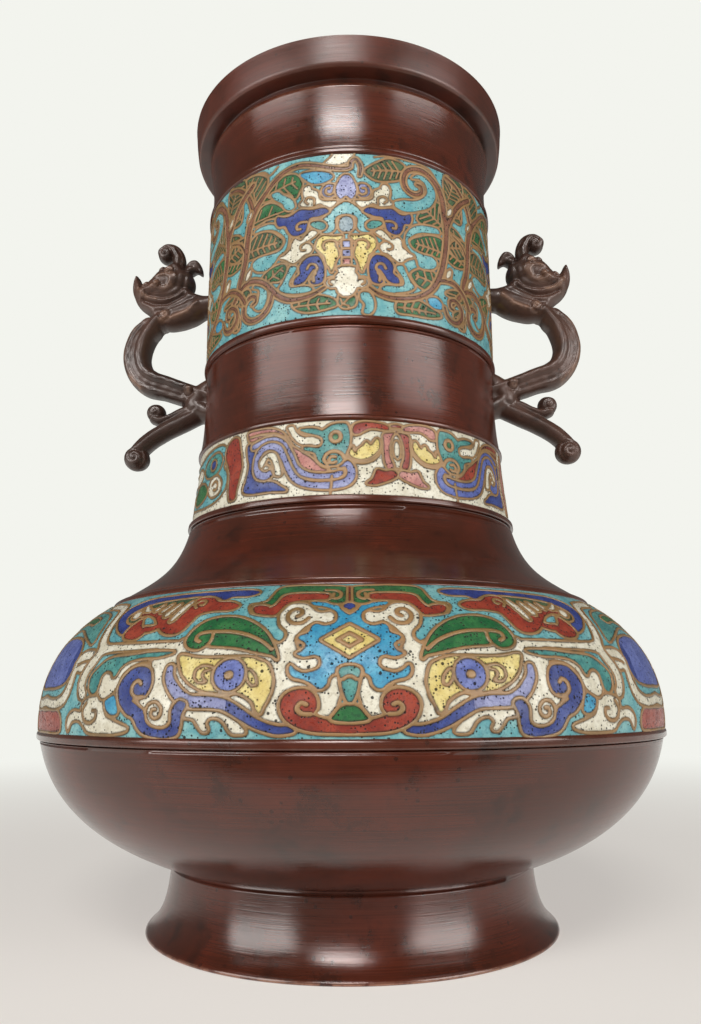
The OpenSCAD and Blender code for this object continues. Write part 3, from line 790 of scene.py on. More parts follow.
def upper_drawing():
    """One flower with its two vines, 105.2 wide. v is the height over the seam below the band."""
    t = Band(-52.6, 52.6, 3.6, 76.4, "T", step=0.4783, period=105.2, seed=5)
    t.paint("W", blob("-9,71.5 -6,75 -4,78 3,78 1.5,73 -2,71 -6,70.6"))
    t.wall(run("-50,75.2 -38,74.8 -34,72 -30,75"), 0.9)
    t.wall(run("12,74.8 20,76 34,75.4 39,73 44,66 50,61.5"), 0.9)
    # leaves
    for outline, root, tip, colour, veins in (
        ("-45.6,37 -43.6,43.6 -38.6,46.2 -33,45 -29,41.8 -26.9,39.4 -28.6,36.8 -33,35.9 -39,35.7",
            (-45, 39.4), (-28, 39.4), "D", 5),
        ("-41.6,51 -38.4,57.4 -34,58.6 -30,56.8 -26.8,54 -22.8,51.7 -28,51.2 -35,51.6", (-42, 52), (-25, 53),
            "G", 3),
        ("-38,61.4 -33,66.6 -27,69 -21.4,68.6 -18.6,64.4 -20.2,60.4 -21.6,57.8 -24.6,60.6 -29,61.8 -33,60.6",
            (-37, 62), (-20, 66), "G", 4),
        ("-52,73.4 -46,74.8 -40,74 -35.4,71 -36,67 -38.4,63.2 -41,60.6 -43,64 -47,69", (-41, 62), (-46, 74),
            "D", 4),
        ("-36,21 -37,25 -33.6,27.8 -28,29 -25.2,27.6 -26,24 -28.4,22 -32,22.4", (-36, 22), (-26, 28), "G", 3),
        ("-22,10.4 -17,12 -12,12.6 -6,11 -4,8.4 -9,6.8 -15,6.3 -20,7.6", (-22, 9), (-5, 9), "G", 4),
        ("-49.5,47.5 -53,50.6 -59,51.6 -63,49 -58,46.8 -53,45.6", (-49.6, 48), (-61, 49.4), "D", 3),
        ("-49,36 -52,41.6 -58,43 -63,40 -60,35.6 -55,34", (-49.6, 36.6), (-61, 39.6), "G", 4),
        ("-50.5,56 -50,64 -54,68 -60,68 -62,63 -58,57", (-50, 57), (-59, 66), "D", 4),
        ("-53,6.4 -57,11 -52,13.8 -49.6,10.4 -49.8,6.6", (-50.4, 6.6), (-55, 12), "D", 2),
        ("-50.6,20.4 -47,22.6 -44,22 -43.4,19.6 -46,16.8 -49,16.8", (-50, 20), (-44, 18.6), "D", 2),
        ("42.4,35.8 43.2,43 37,43.6 30.4,41 26.8,38.4 28.2,35.4 33,34.3 38,34.2", (42.6, 37.4), (28, 38), "G",
            5),
        ("44.2,47.4 44.6,56 42,59.6 38,59.8 34.6,56.8 32,53 30.6,49.6 33,48.2 38,48.8", (44, 49), (33, 56),
            "G", 5),
        ("8,68.2 12,71.4 18,74.4 24,73.4 25.6,70 23,66.4 18,64.6 13,64.2 9.4,66", (24, 70), (9, 68), "D", 5),
        ("38.6,20.6 40,25 35.4,27.4 30,26.4 27,24 28.6,21 31,19.2 34.6,18.6", (39, 22), (28, 24), "G", 3),
        ("20.6,10.2 24,11.6 30,12.4 35,11 41,8.8 36,6.6 28,6.2 21,6.4", (21, 8.4), (40, 8.8), "G", 5),
        ("-2.6,12.4 0.6,13.4 3.4,11.6 3,8 -1,7 -3,9", (-2, 8), (2, 12.4), "G", 1),
        ("47.2,41 49.6,45 55,47.4 60,46 58,41 52.6,38.2", (47.4, 41.4), (58, 45), "D", 4),
        ("46.4,63.6 44.8,70 46.6,75.4 56,75.6 57,69 51,62.6", (47, 64), (52, 75), "D", 5),
        ("44,19.4 47,21.6 52,22.6 56,20.6 54,18 49,18.8", (44, 20), (55, 21), "D", 2),
    ):
        palmette(t, outline, root, tip, colour, veins)
    t.paint("T", blob("28.2,68 31,70.4 36,69.6 39.4,66 39.8,61.6 37,57 32,54 26,51.8 21,52.8 20.2,55"
        " 23.6,56.6 29,57.6 33.2,60 35.6,63.4 34.4,67 31.4,68.4"))
    t.paint("T", blob("-33,62.6 -29.6,62.8 -27,60.4 -24.4,58.6 -22.4,56.6 -21.6,53.6 -24.2,52.8 -26.2,54.4"
        " -27.8,57 -31,59.4"))
    t.paint("C", blob("-19,68.6 -13,68.8 -7,67.2 -5.6,65 -9,63 -13.6,63 -17,65.4"))
    t.paint("T", blob("-24.4,41.6 -27.4,45.6 -33,48.8 -39.6,48.8 -41.4,47.4 -36,47 -31,45.4 -26.8,42"
        " -25.6,38.8 -28,35.6 -33,34.8 -40,34.8 -42.4,32.6 -40,29.4 -35,28.4 -31,30.4 -28.6,33.2 -25.2,35.6"))
    t.paint("T", blob("25,41.6 28,45.4 33,47.4 40,48 41.6,46 37,44.8 31,43.4 26.8,40.6 25.6,38.4 27.4,35.2"
        " 32,33.8 38,33.6 39.4,30.6 36,27.8 31,27.8 29.6,31 26.6,34 24.6,37"))
    t.paint("T", blob("-39.6,12.4 -41,14.6 -38.4,17.4 -38.6,20.6 -41.6,22.4 -38.4,23.6 -35.4,20.6 -34.2,16.4"
        " -35.4,12.8 -37.4,11.6"))
    t.paint("C", blob("34.6,14.4 38,16 41,14.8 42,12 38.6,11 35.6,12"))
    t.paint("T", blob("5.6,13.4 8.6,13.6 10.6,10.8 10.8,7 9,4.4 6.6,5 7.2,8.4 5.6,10.8"))
    # vines
    t.paint("V", stroke("-8.6,16.2 -13.8,13.2 -18.8,12.2 -23.8,12.8 -28.8,15.7 -32.8,19.7 -36.8,23.3"
        " -41.8,25.3 -46.8,25 -50.8,22.4 -54.6,18.6 -58,15.4", (0.3, 0.6, 0.8, 0.9, 0.9, 0.9, 0.9, 0.9, 0.8,
        0.7)), stroke("-35.4,64.8 -41.2,58.4 -44.2,52 -45.6,45 -46.3,38 -47.8,32 -49.8,27 -50.6,22", (0.7,
        1.2, 1.4, 1.3, 1.3, 1.2, 1, .8)), stroke("5.6,66 6,70 4.2,73.2 2,72 1.4,69.4 -2,68.8 -6.8,69.7"
        " -13.8,71.7 -20.8,72.6 -26.8,71.1 -31.8,68 -35.8,64.3 -39.8,60", (0.4, 0.5, 0.5, 0.5, 0.6, 0.6, 0.7,
        0.8, 0.8, 0.8)), stroke("-31.6,16.6 -33.4,11.4 -37.8,8 -42.8,7.9 -46.6,11.2 -46.6,15.6 -43.6,18.5"
        " -40.4,18 -40.2,15.6 -42,15", (0.5, 0.7, 0.8, 0.8, 0.8, 0.7, 0.6, 0.4, 0.3)), stroke("-42.6,59"
        " -44.6,64 -48,68.6 -53,72.6 -59,74.4", (0.9, 0.8, 0.7, 0.6)), stroke("-46.6,40 -50,45 -56,47.6",
        (0.5, 0.3, 0.2)))
    t.paint("V", stroke("8.2,16.4 13.2,13.2 19.2,12.2 26.2,13 32.2,15.7 37.2,20.2 41.2,27 43.7,35 45.2,43"
        " 45.5,50 44.2,57 43.6,62 41.2,67.6 36.2,71.8 31.2,73 26.6,71.4 24.4,67.4 24.8,63.4 27,61 30.2,60.7"
        " 32.8,62.4 32.8,65 30.6,65.6", (0.3, 0.6, 0.8, 0.8, 0.9, 1.1, 1.2, 1.3, 1.4, 1.4, 1.2, 1.0, 0.9, 0.8,
        0.8, 0.7, 0.7, 0.6, 0.4)), stroke("45.2,49 47.8,55 51.6,61 56.6,66.4 62,70.6", (1.2, 1.1, 1.0, 0.9)),
        stroke("38.6,23.4 44,25.1 50,25.2 55.4,22 59,17", (0.4, 0.7, 0.8, 0.8)), stroke("43,13 45,9 49.6,7.8"
        " 53.4,10.6 53.4,15 50,17.8 46.6,17 46.2,14 48.4,13.2", (0.4, 0.6, 0.8, 0.8, 0.7, 0.6, 0.5, 0.3)))
    # pale seeds
    for x, y, w in ((-44.4, 56.5, (0.4, 0.9, 0.3)), (-44.6, 29.3, (0.9, 1.2, 0.5)), (47.6, 58.2,
        (0.4, 1.2, 0.6)), (46.2, 29, (0.8, 1.3, 0.6))):
        t.paint("W", ("stroke", np.array([[x - 1.0, y - 1.6], [x, y], [x + 1.0, y + 1.6]]), w))
    # crown
    t.pair("W", blob("3.8,54 8.8,54.5 11.3,56 11.8,59 14.3,60.5 15.5,62.5 17.8,61.8 18.3,59 17.8,56.5 19.3,54"
        " 16.8,52.8 13.8,52.5 10.8,53.5 7.8,51.8 5.8,51.5"))
    t.walls(run("13.1,53.5 13.3,56 15.8,57 17.1,55.5 15.8,54"), 1.1)
    t.paint("T", blob("0,53.5 4,51.5 7,48.5 9.5,46.5 13,46.8 15.5,46 16,44.5 13.5,43 11,41 8.5,40 6,40.3"
        " 4.5,42 4.5,46 2.5,47.6 0,48", 0))
    t.pair("K", blob("9.8,45.2 13,45.8 15,45 14,43.4 11,41.8 9,41.8 8.2,43.4"))
    t.pair("L", disc(7.0, 59, 3.0), stroke("3.6,58.4 5,60.6 7,61", 0.8))
    t.paint("L", blob("0,66 2,65 3.4,62.5 4.2,60 4,57.5 2.8,55.3 1.8,55 0,56.3", 0))
    t.walls(run("4.9,60.6 5.3,58 6.8,57.2 8.4,58.2 8.2,60 6.8,60.2"), 1.05)
    t.paint("E", blob("0,47 2,46.3 2.8,44.5 2.6,41.5 1.5,40.2 0,40", 0))
    # petals
    for sign, reach in ((-1, 0.0), (1, -2.6)):
        petal = nums("7,49.5 9.3,51.5 14,51 19,51.8 23,50 26.3,50 29.5,51 30.2,49 28.8,46.5 25.8,46 24.3,43"
            " 22.3,40.8 19.5,40.6 17,42 16.3,44.5 15,47.4 11,47.8")
        petal[:, 0] += np.clip((petal[:, 0] - 20) / 10, 0, 1) * reach
        petal[:, 0] *= sign
        t.paint("B", ("blob", smooth(petal), 0.0))
    t.walls(run("16.5,46 19,46.2 20.8,45 20.5,43.3 19.3,43.2"), 1.1)
    t.pair("T", blob("20.8,26.5 23.3,27 24.8,24 26.8,20.5 28.3,18.5 25.8,16.3 20.8,14.8 16.8,14.5 13.8,15.3"
        " 15.3,17 18.8,17.5 22.8,18 23.8,20 22.6,22.5 20.8,25"))
    t.pair("B", blob("11.3,30 14.8,30.2 17.8,28.5 19.3,26 19.1,23 21.3,21 21.6,19 19.3,18.5 16.8,19.5 15.2,22"
        " 13.2,24.4 12,22.4 13.4,20.8 14.6,18.8 12.8,17.6 10.1,18.5 9.1,22 9.3,26.5"))
    t.walls(run("13.3,19 13.4,22 11.9,24.5 12.8,26.5 15,26.6 16,24.8"), 1.15)
    t.pair("W", blob("11.8,40.5 14.3,41.8 16.8,40 18.8,38 21.3,39.3 22.8,37.5 23.3,35 25.8,33 28.3,32"
        " 25.3,30.5 22.3,28.3 19.8,29.3 17.3,31.3 14.8,32 13.8,34 15.3,36 17.6,36.8 14.4,38.4"))
    t.walls(run("17.4,36.6 19,35.4 18.6,33.6 17,33.4"), 1.0)
    t.pair("Y", blob("1.4,38 5.8,38.4 8.8,39 11.3,37.8 12.3,34.5 10.8,32 8.8,30 8.1,27 6.8,24.5 6.1,22.5"
        " 5.3,24.5 4.3,27.5 3.1,30 3.8,33 4.4,35"))
    t.walls(run("3.3,34.5 4.8,36.3 7.8,36.5 9.3,35 8.6,33"), 1.1)
    for y, colour in ((34.5, "L"), (30.5, "L"), (26.6, "P")):
        t.paint(colour, ("blob", nums("-1.5,-1.4 1.5,-1.4 1.5,1.4 -1.5,1.4") + (0, y), 0.0))
    t.paint("W", blob("0,24.6 3.5,24.3 3.3,22.5 4.6,20.5 4.3,18.5 5.5,16.8 4,15.5 3.2,13.8 1.5,12.3 0,12.2",
        0), disc(6.4, 18, 2.0), disc(-6.4, 18, 2.0), stroke("3,17 6,16.6", 0.9), stroke("-3,17 -6,16.6", 0.9))
    t.walls(run("5,19.6 6.8,19.4 7.2,17.8 6,17"), 1.0)
    return t


def lower_drawing():
    """Half of a pair of beasts, from the axis behind them to the one between them. v is z - 157."""
    t = Band(-89, 17.8, 6.4, 37.4, "W", step=0.477, seed=8)
    between, behind = 17.8, -89.0
    # the mask behind the beasts
    t.paint("T", blob("-89,31 -80,32 -72,33.5 -62,34.5 -57,33 -55.5,29 -57,25 -54,21 -54.5,15 -60,11 -70,10"
        " -80,11 -89,12", behind))
    t.paint("K", blob("-74,28 -69,31 -62,31.5 -58.5,28 -61,23.5 -67,22.5 -72,24"))
    t.paint("G", blob("-86,16 -80,21 -73,20.5 -69,16.5 -73,13.5 -81,13"))
    t.paint("W", blob("-66,21 -61,21.5 -57.5,18 -59,14 -64,13.5 -67.5,16.5"))
    t.wall(run("-64.5,18.5 -62,19.6 -60,18 -61,15.8 -63,16.2"), 1.2)
    t.paint("B", disc(-65.5, 27.2, 1.9))
    t.paint("W", blob("-89,27 -82,29 -77,27 -77.5,24 -83,22.5 -89,23", behind))
    t.paint("R", blob("-54,34 -51,35.6 -48.3,34.4 -47,30 -46,26 -45.4,22 -46.2,17 -47.2,12.5 -47.4,9.6"
        " -50.4,9.4 -51.8,13 -52,17 -52.3,21 -54,25 -56,28.5 -55.5,32"))
    # crossing strands between the two beasts
    t.paint("P", blob("14.2,34.4 17.8,35.6 17.8,33.2 16,30.6 14.8,27 14.8,22.4 16,18.4 14.6,17 13.2,19"
        " 12.6,23 12.7,27.4 13.4,31.6", between))
    t.paint("W", blob("17.8,28.6 17,27.6 16.6,25.4 16.9,23 17.8,21.8", between))
    t.paint("P", blob("17.8,17.2 17.8,14.6 15,13.6 11,12.4 7.6,11.4 6,11.6 8,13.3 9,15.5 10,17 13,16.2"
        " 15.6,16.8", between))
    t.paint("R", blob("6,11.3 9,11 13,12.3 16.4,13.8 17.4,15.2 15.8,16.6 13,16.3 10,17 9,15.5 8,13.3"))
    t.paint("R", blob("1,33 2,35 6,36 12,35.5 14.4,34.6 15,33.4 13,33.2 8,33.6 5,32.3 3.5,31.3 1.5,31.3"))
    # jaw
    t.paint("Y", blob("-0.6,23.4 1,21.5 4,20.8 7,21.5 9.5,23.5 11,26 10.9,28.6 9.8,29.2 8.5,27.4 7.5,26.6"
        " 6,28 4.6,26.2 3,25 1.8,23.4 0.8,24.6 1,26"))
    t.wall(run("-1.2,21 3,19.4 7.4,20 10.6,22.6 12,26.4"), 1.2)
    # the body's ribbons
    t.paint("B", blob("-43,30.3 -41,31 -38.9,30 -39.2,26 -39.3,20 -37.5,15.8 -34,14.3 -29.5,13.6 -26.5,11.8"
        " -24,9.6 -30,10 -38,10 -42.5,11 -43.3,13 -42,17 -41.5,22 -42.5,26"))
    t.paint("P", blob("-43,35.8 -38,36.3 -32,35.8 -27.5,33.8 -25,30.9 -22.5,27.4 -20.5,26 -18,24 -15,22"
        " -13,20 -11,18 -8,16.5 -10,15.4 -14,15.8 -17,17.2 -19.5,19.5 -21.5,23 -23.5,27 -26.5,30.8 -31,32.6"
        " -37,32.8 -41.5,32.2"))
    t.wall(run("-41.8,34 -36,34.3 -30,33.6 -26.5,31.6 -24,28.2 -21.8,24.6"), 1.1)
    t.paint("L", stroke("-39.6,29.6 -34,31.1 -29.5,30.7 -26,28.2 -23.3,24 -20.8,19 -17.5,16 -13,14.6 -8,14.5"
        " -5,14.9 -3.4,15.6", (1.1, 1.3, 1.3, 1.2, 1.2, 1.1, 1.1, 1.1, 1.1, 1.2, 0.8)))
    t.paint("L", stroke("-30.6,17.6 -33,16.5 -36.2,17.5 -37.7,20.5 -37.3,25 -35,28 -31.5,28.6 -28,26.8"
        " -25.7,23 -23,17.5 -20,13.6 -16,11.4 -11,10.7 -6,10.8 -2,11.8 0,14 0.2,17 -1.6,19.2 -3.8,18.6", (1.3,
        1.6, 1.6, 1.3, 1.3, 1.3, 1.4, 1.3, 1.2, 1.2, 1.3, 1.3, 1.4, 1.6, 1.7, 1.6, 1.4, 1.2, 0.8)))
    t.paint("W", blob("-35.4,20.2 -36,22.6 -34.2,25 -31.4,26 -29,24.4 -27.4,20.4 -26.4,16.4 -28.8,16.6"
        " -29.6,20 -31,23 -33,23.4 -34,21.6"))
    t.wall(run("-29.8,17.6 -31.4,20.2 -33.2,21.6 -32.4,23.4"), 1.2)
    # head
    t.paint("W", blob("-24.5,35 -22.5,35.5 -21,33 -18,31 -14,30.8 -11.5,29.5 -11.2,27.8 -12.5,27 -15,27.8"
        " -18.5,28 -21,29.5 -23,32"))
    t.paint("K", blob("-10.5,33 -7,35 -3,35.5 -1,34.8 0,31 -0.3,27 -1.5,24 -2.4,21.4 -4,19.4 -6.6,18.6"
        " -9.4,18.8 -12.2,21 -13.5,24 -17.5,25.4 -17.5,26.8 -13,26.2 -10.8,27 -10.3,29.5 -12,31 -15,32 -18,33"
        " -19.4,34.2 -15,34.3 -12,33.5"))
    t.wall(nums("-5.5,30.2 -5.4,30.2"), 5.4)
    t.paint("G", disc(-5.5, 30.2, 1.25))
    t.wall(run("-2,20.6 -3.6,23.4 -6.4,24.4 -9,23.2 -9.8,21 -8.6,19.4"), 1.4)
    t.wall(run("-5.4,20 -7,19.6 -8,20.8 -7.2,22.2 -5.6,22"), 1.2)
    t.wall(nums("-7.4,4 -7.1,9 -6.9,14.4"), 0.9)
    return t


# ---------------------------------------------------------------- castings

def line_of(*pieces):
    """Stretches of an outline joined end to end."""
    return np.vstack([np.asarray(p, float) for p in pieces])


def inner(line, wall):
    """The same line moved towards the axis by the wall, running back down."""
    slope = np.gradient(line, axis=0)
    n = np.stack([slope[:, 1], -slope[:, 0]], 1)
    n /= np.hypot(*n.T)[:, None] + 1e-9
    return (line - n * wall)[::-1]


# the outlines of the castings, as radius and height
FOOT = bezier([[82.7, 1.8], [76.2, 6.4], [74.7, 15.2], [74.1, 26.3]])
BOWL = bezier([[75.8, 26.6], [116.6, 40.5], [124, 62.2], [126.7, 74.4]], 60)
BODY = bezier([[127.6, 78], [129.6, 104], [116, 118], [102.2, 126.2]], 60)
SHOULDER = bezier([[98.9, 128.6], [84, 137.7], [76.4, 143], [71.9, 159.8]], 50)
LOWER = np.array([[71.1, 163.9], [70.4, 169], [69.8, 175], [69.3, 180], [68.8, 185], [68.2, 193.8]])
MIDDLE = smooth([[68.3, 196], [67.4, 202], [66.7, 212], [66.4, 224], [66.45, 233.6]], False, 10)
UPPER = np.array([[66.9, 238.1], [67.0, 250], [67.1, 265], [67.0, 290], [66.8, 309.9]])
NECK = bezier([[66.6, 313.5], [65.4, 322], [65.6, 330], [68, 342.5]], 30)


def castings():
    """The turned bronze pieces, from the foot up."""
    def make(name, node, outer, back, seed, worn=0.12, metal=BRONZE):
        outline = dense(line_of(outer, back))
        lathe(name, outline, metal, (node,), wear_of(outline) * worn, seed)

    foot = line_of(rounded([[79.5, 0.5], [80.2, 0], [82.8, 0], [83.35, 0.4], [83.25, 1.1], FOOT[0], FOOT[1]],
        0.4), FOOT[2:-1], rounded([FOOT[-2], FOOT[-1], [73.9, 26.6], [71.6, 26.6]], 0.2))
    make("foot", "foot_ring", foot, [[71.6, 22.4], [70.7, 17], [73.2, 10], [78.4, 3.2], [79.0, 1.2]], 2,
        worn=1.0)
    bowl = line_of(rounded([[72.0, 26.5], [75.3, 26.5], BOWL[0], BOWL[1]], 0.3), BOWL[1:-1],
                   rounded([BOWL[-2], BOWL[-1], [126.5, 74.5], [123.4, 74.1]], 0.05))
    make("bowl", "lower_bowl", bowl, inner(BOWL, 3.2), 3)
    tray = inner(BODY, 0.9)[::-1]
    band = line_of(rounded([[124.6, 74.75], [127.0, 74.75], [127.95, 75.3], [128.05, 77.2], [127.5, 78.1],
        [126.7, 78.3]], 0.45), tray[1:-1], rounded([[101.6, 125.4], [102.25, 126.2], [101.4, 127.6],
        [99.9, 128.4], [96.6, 128.4]], 0.5))
    make("body_casting_shell", "body_casting", band, inner(BODY, 4.4), 4)
    top = line_of(SHOULDER[:-1], rounded([SHOULDER[-2], SHOULDER[-1], [71.5, 160.2], [69, 160.2]], 0.15))
    make("shoulder_shell", "shoulder", top, inner(SHOULDER, 3.2), 5)
    tray = inner(LOWER, 0.9)[::-1]
    mid = line_of(rounded([[69, 160.4], [70.9, 160.4], [71.0, 160.9], [72.3, 161.1], [72.5, 161.6],
        [72.3, 163.2], [71.5, 163.8], [70.4, 164.1]], 0.25), tray[1:-1], rounded([[67.4, 193.6],
        [68.4, 193.9], [69.0, 194.4], [69.0, 195.3], [68.3, 196]], 0.3), MIDDLE[1:-1], rounded([MIDDLE[-2],
        MIDDLE[-1], [66.1, 234.3], [63.6, 234.3]], 0.3))
    back = [[63.2, 234.3], [63.2, 212], [64.6, 195], [66, 175], [67.6, 160.4]]
    make("middle_neck_shell", "middle_neck", mid, back, 6)
    tray = inner(UPPER, 0.9)[::-1]
    up = line_of(rounded([[63.8, 234.6], [66.3, 234.6], [67.4, 235.2], [67.75, 236.2], [67.6, 237.3],
        [66.8, 238.0], [66.0, 238.3]], 0.35), tray[1:-1], rounded([[66.0, 309.6], [66.9, 310.1],
        [67.5, 310.6], [67.45, 312.1], [66.7, 312.6], [66.45, 313.1], [66.6, 313.6]], 0.3), NECK[1:])
    back = [[64.9, 342.6], [62.6, 330], [62.6, 322], [63.4, 300], [63.4, 240]]
    make("upper_neck_shell", "upper_neck", up, back, 7)
    rim = rounded([[62, 341], [65.9, 341], [65.9, 346.5], [73, 346.5], [73.9, 347.6], [74.6, 353],
        [75, 358.6], [75.15, 359.8], [74.9, 360], [64, 360], [61.2, 357.2]], [0, 0.2, 0.6, 0.5, 0.7, 2, 0.5,
        0.1, 0.15, 1.8, 1.2])
    make("mouth_rim_shell", "mouth_rim", rim, [[61.2, 348]], 8, metal=BRONZE_RIM)


# ---------------------------------------------------------------- handles

def surface_nets(field, origin, step):
    """A clean quad mesh where a field on a 3-D grid passes through 0, positive inside."""
    nx, ny, nz = field.shape
    total = np.zeros((nx - 1, ny - 1, nz - 1, 3), np.float32)
    count = np.zeros((nx - 1, ny - 1, nz - 1), np.float32)
    quads = []
    for axis in range(3):
        lo = tuple(slice(0, -1) if k == axis else slice(None) for k in range(3))
        hi = tuple(slice(1, None) if k == axis else slice(None) for k in range(3))
        a, b = field[lo], field[hi]
        cut = (a > 0) != (b > 0)
        idx = np.argwhere(cut)
        t = a[cut] / (a[cut] - b[cut])
        point = idx.astype(np.float32)
        point[:, axis] += t
        o1, o2 = [k for k in range(3) if k != axis]
        around = []
        ok = np.ones(len(idx), bool)
        for d1, d2 in ((0, 0), (1, 0), (1, 1), (0, 1)):
            cell = idx.copy()
            cell[:, o1] -= d1
            cell[:, o2] -= d2
            good = (cell >= 0).all(1) & (cell < np.array(count.shape)).all(1)
            ok &= good
            c = cell[good]
            np.add.at(total, tuple(c.T), point[good])
            np.add.at(count, tuple(c.T), 1)
            around.append(cell)
        flip_them = (a[cut] <= 0) != (axis == 1)
        ring = np.stack(around, 1)
        ring[flip_them] = ring[flip_them][:, ::-1]
        quads.append(ring[ok])
    used = count > 0
    ids = np.full(count.shape, -1)
    ids[used] = np.arange(used.sum())
    verts = total[used] / count[used][:, None] * step + origin
    ring = np.vstack(quads)
    return verts, ids[ring[..., 0], ring[..., 1], ring[..., 2]]


def relax(verts, quads):
    """Evens out the mesh."""
    rounds, amount = 2, 0.45
    for _ in range(rounds):
        s = np.zeros_like(verts)
        n = np.zeros(len(verts))
        for k in range(4):
            a, b = quads[:, k], quads[:, (k + 1) % 4]
            for c in range(3):
                s[:, c] += np.bincount(a, verts[b, c], len(verts)) + np.bincount(b, verts[a, c], len(verts))
            n += np.bincount(a, minlength=len(verts)) + np.bincount(b, minlength=len(verts))
        verts = verts + amount * (s / n[:, None] - verts)
    return verts


class Relief:
    """A casting that is the same on both faces: half its thickness over the plane x, z."""

    def __init__(self, x0, x1, z0, z1, step):
        self.step = step
        self.xs, self.zs = np.arange(x0, x1, step), np.arange(z0, z1, step)
        self.x, self.z = np.meshgrid(self.xs, self.zs, indexing="ij")
        self.q = np.full(self.x.shape, -60.0)
        self.wear = np.zeros(self.x.shape)

    def join(self, q, k):
        """Adds another part, with a soft join. q is the square of its half thickness."""
        self.q = 0.5 * (self.q + q + np.sqrt((self.q - q) ** 2 + k * k))

    def tube(self, text, thick, k, flat=1.0):
        """A limb along a curve of x, z, half width."""
        p = smooth(nums(text), False, 8)
        d, place = seg_distance(self.x, self.z, p, False)
        w = np.interp(place, np.linspace(0, 1, len(p)), p[:, 2])
        s = d / w
        self.join(thick * thick * np.where(s < 1, 1 - s ** (2 * flat), 2 * flat * (1 - s)), k)

    def depth(self, text):
        """How far each place is inside a closed curve."""
        p = smooth(nums(text))
        d, _ = seg_distance(self.x, self.z, p, True)
        return np.where(inside(self.x, self.z, p), d, -d)

    def slab(self, text, thick, edge, k):
        """A flat part with a rounded edge."""
        d = self.depth(text)
        s = np.clip(d / edge, None, 1)
        self.join(thick * thick * np.where(s > 0, 1 - (1 - s) ** 2, 2 * s), k)

    def lift(self, amount, wear=0.0):
        """Raises or lowers the face."""
        solid = self.q > 0
        t = np.sqrt(np.maximum(self.q, 0))
        self.q = np.where(solid, np.maximum(t + amount, 0.6) ** 2, self.q)
        self.wear = np.maximum(self.wear, wear)

    def raised(self, text, height, edge):
        s = np.clip(self.depth(text) / edge, 0, 1)
        self.lift(height * s * s * (3 - 2 * s), 0.5 * s)

    def cut(self, text, deep, width):
        d, _ = seg_distance(self.x, self.z, smooth(nums(text), False), False)
        self.lift(-deep * np.exp(-((d / width) ** 2)))

    def bead(self, text, high, width):
        d, _ = seg_distance(self.x, self.z, smooth(nums(text), False), False)
        g = np.exp(-((d / width) ** 2))
        self.lift(high * g, g)

    def boss(self, x, z, r, high):
        d = np.hypot(self.x - x, self.z - z)
        dome = high * np.sqrt(np.clip(1 - (d / r) ** 2, 0, 1))
        groove = 0.5 * np.exp(-(((d - r * 1.12) / 0.45) ** 2))
        self.lift(dome - groove, np.clip(1.1 - d / r, 0, 1))

    def spiral(self, x, z, r, turns, start, deep, width=0.42):
        a = np.linspace(0, turns * 2 * np.pi, int(18 * turns))
        rr = 0.25 + (r - 0.25) * a / a[-1]
        p = np.stack([x + rr * np.cos(start + a), z + rr * np.sin(start + a)], 1)
        d, _ = seg_distance(self.x, self.z, p, False)
        self.lift(-deep * np.exp(-((d / width) ** 2)))

    def mesh(self, name, side, nodes):
        """The whole casting. Side is 1 on the right and -1 on the left."""
        half = 11.4   # a little more than half of the thickest limb
        ys = np.arange(-half, half + self.step, self.step)
        field = self.q[:, None, :] - (ys**2)[None, :, None]
        verts, quads = surface_nets(field, np.array([self.xs[0], ys[0], self.zs[0]]), self.step)
        verts = relax(verts, quads)
        i = (verts[:, 0] - self.xs[0]) / self.step
        k = (verts[:, 2] - self.zs[0]) / self.step
        face = np.clip(i, 0, len(self.xs) - 1.01), np.clip(k, 0, len(self.zs) - 1.01)
        wear = self.wear[face[0].round().astype(int), face[1].round().astype(int)]
        x, y, z = verts.T
        verts[:, 1] += 0.10 * np.sin(x * 0.9 + z * 0.4 + side) * np.sin(z * 0.7 + y * 0.8)
        if side < 0:
            verts[:, 0] *= -1
            quads = quads[:, ::-1]
        new_object(name, verts, [quads], BRONZE_DARK, {"wear": wear * 0.8}, nodes)


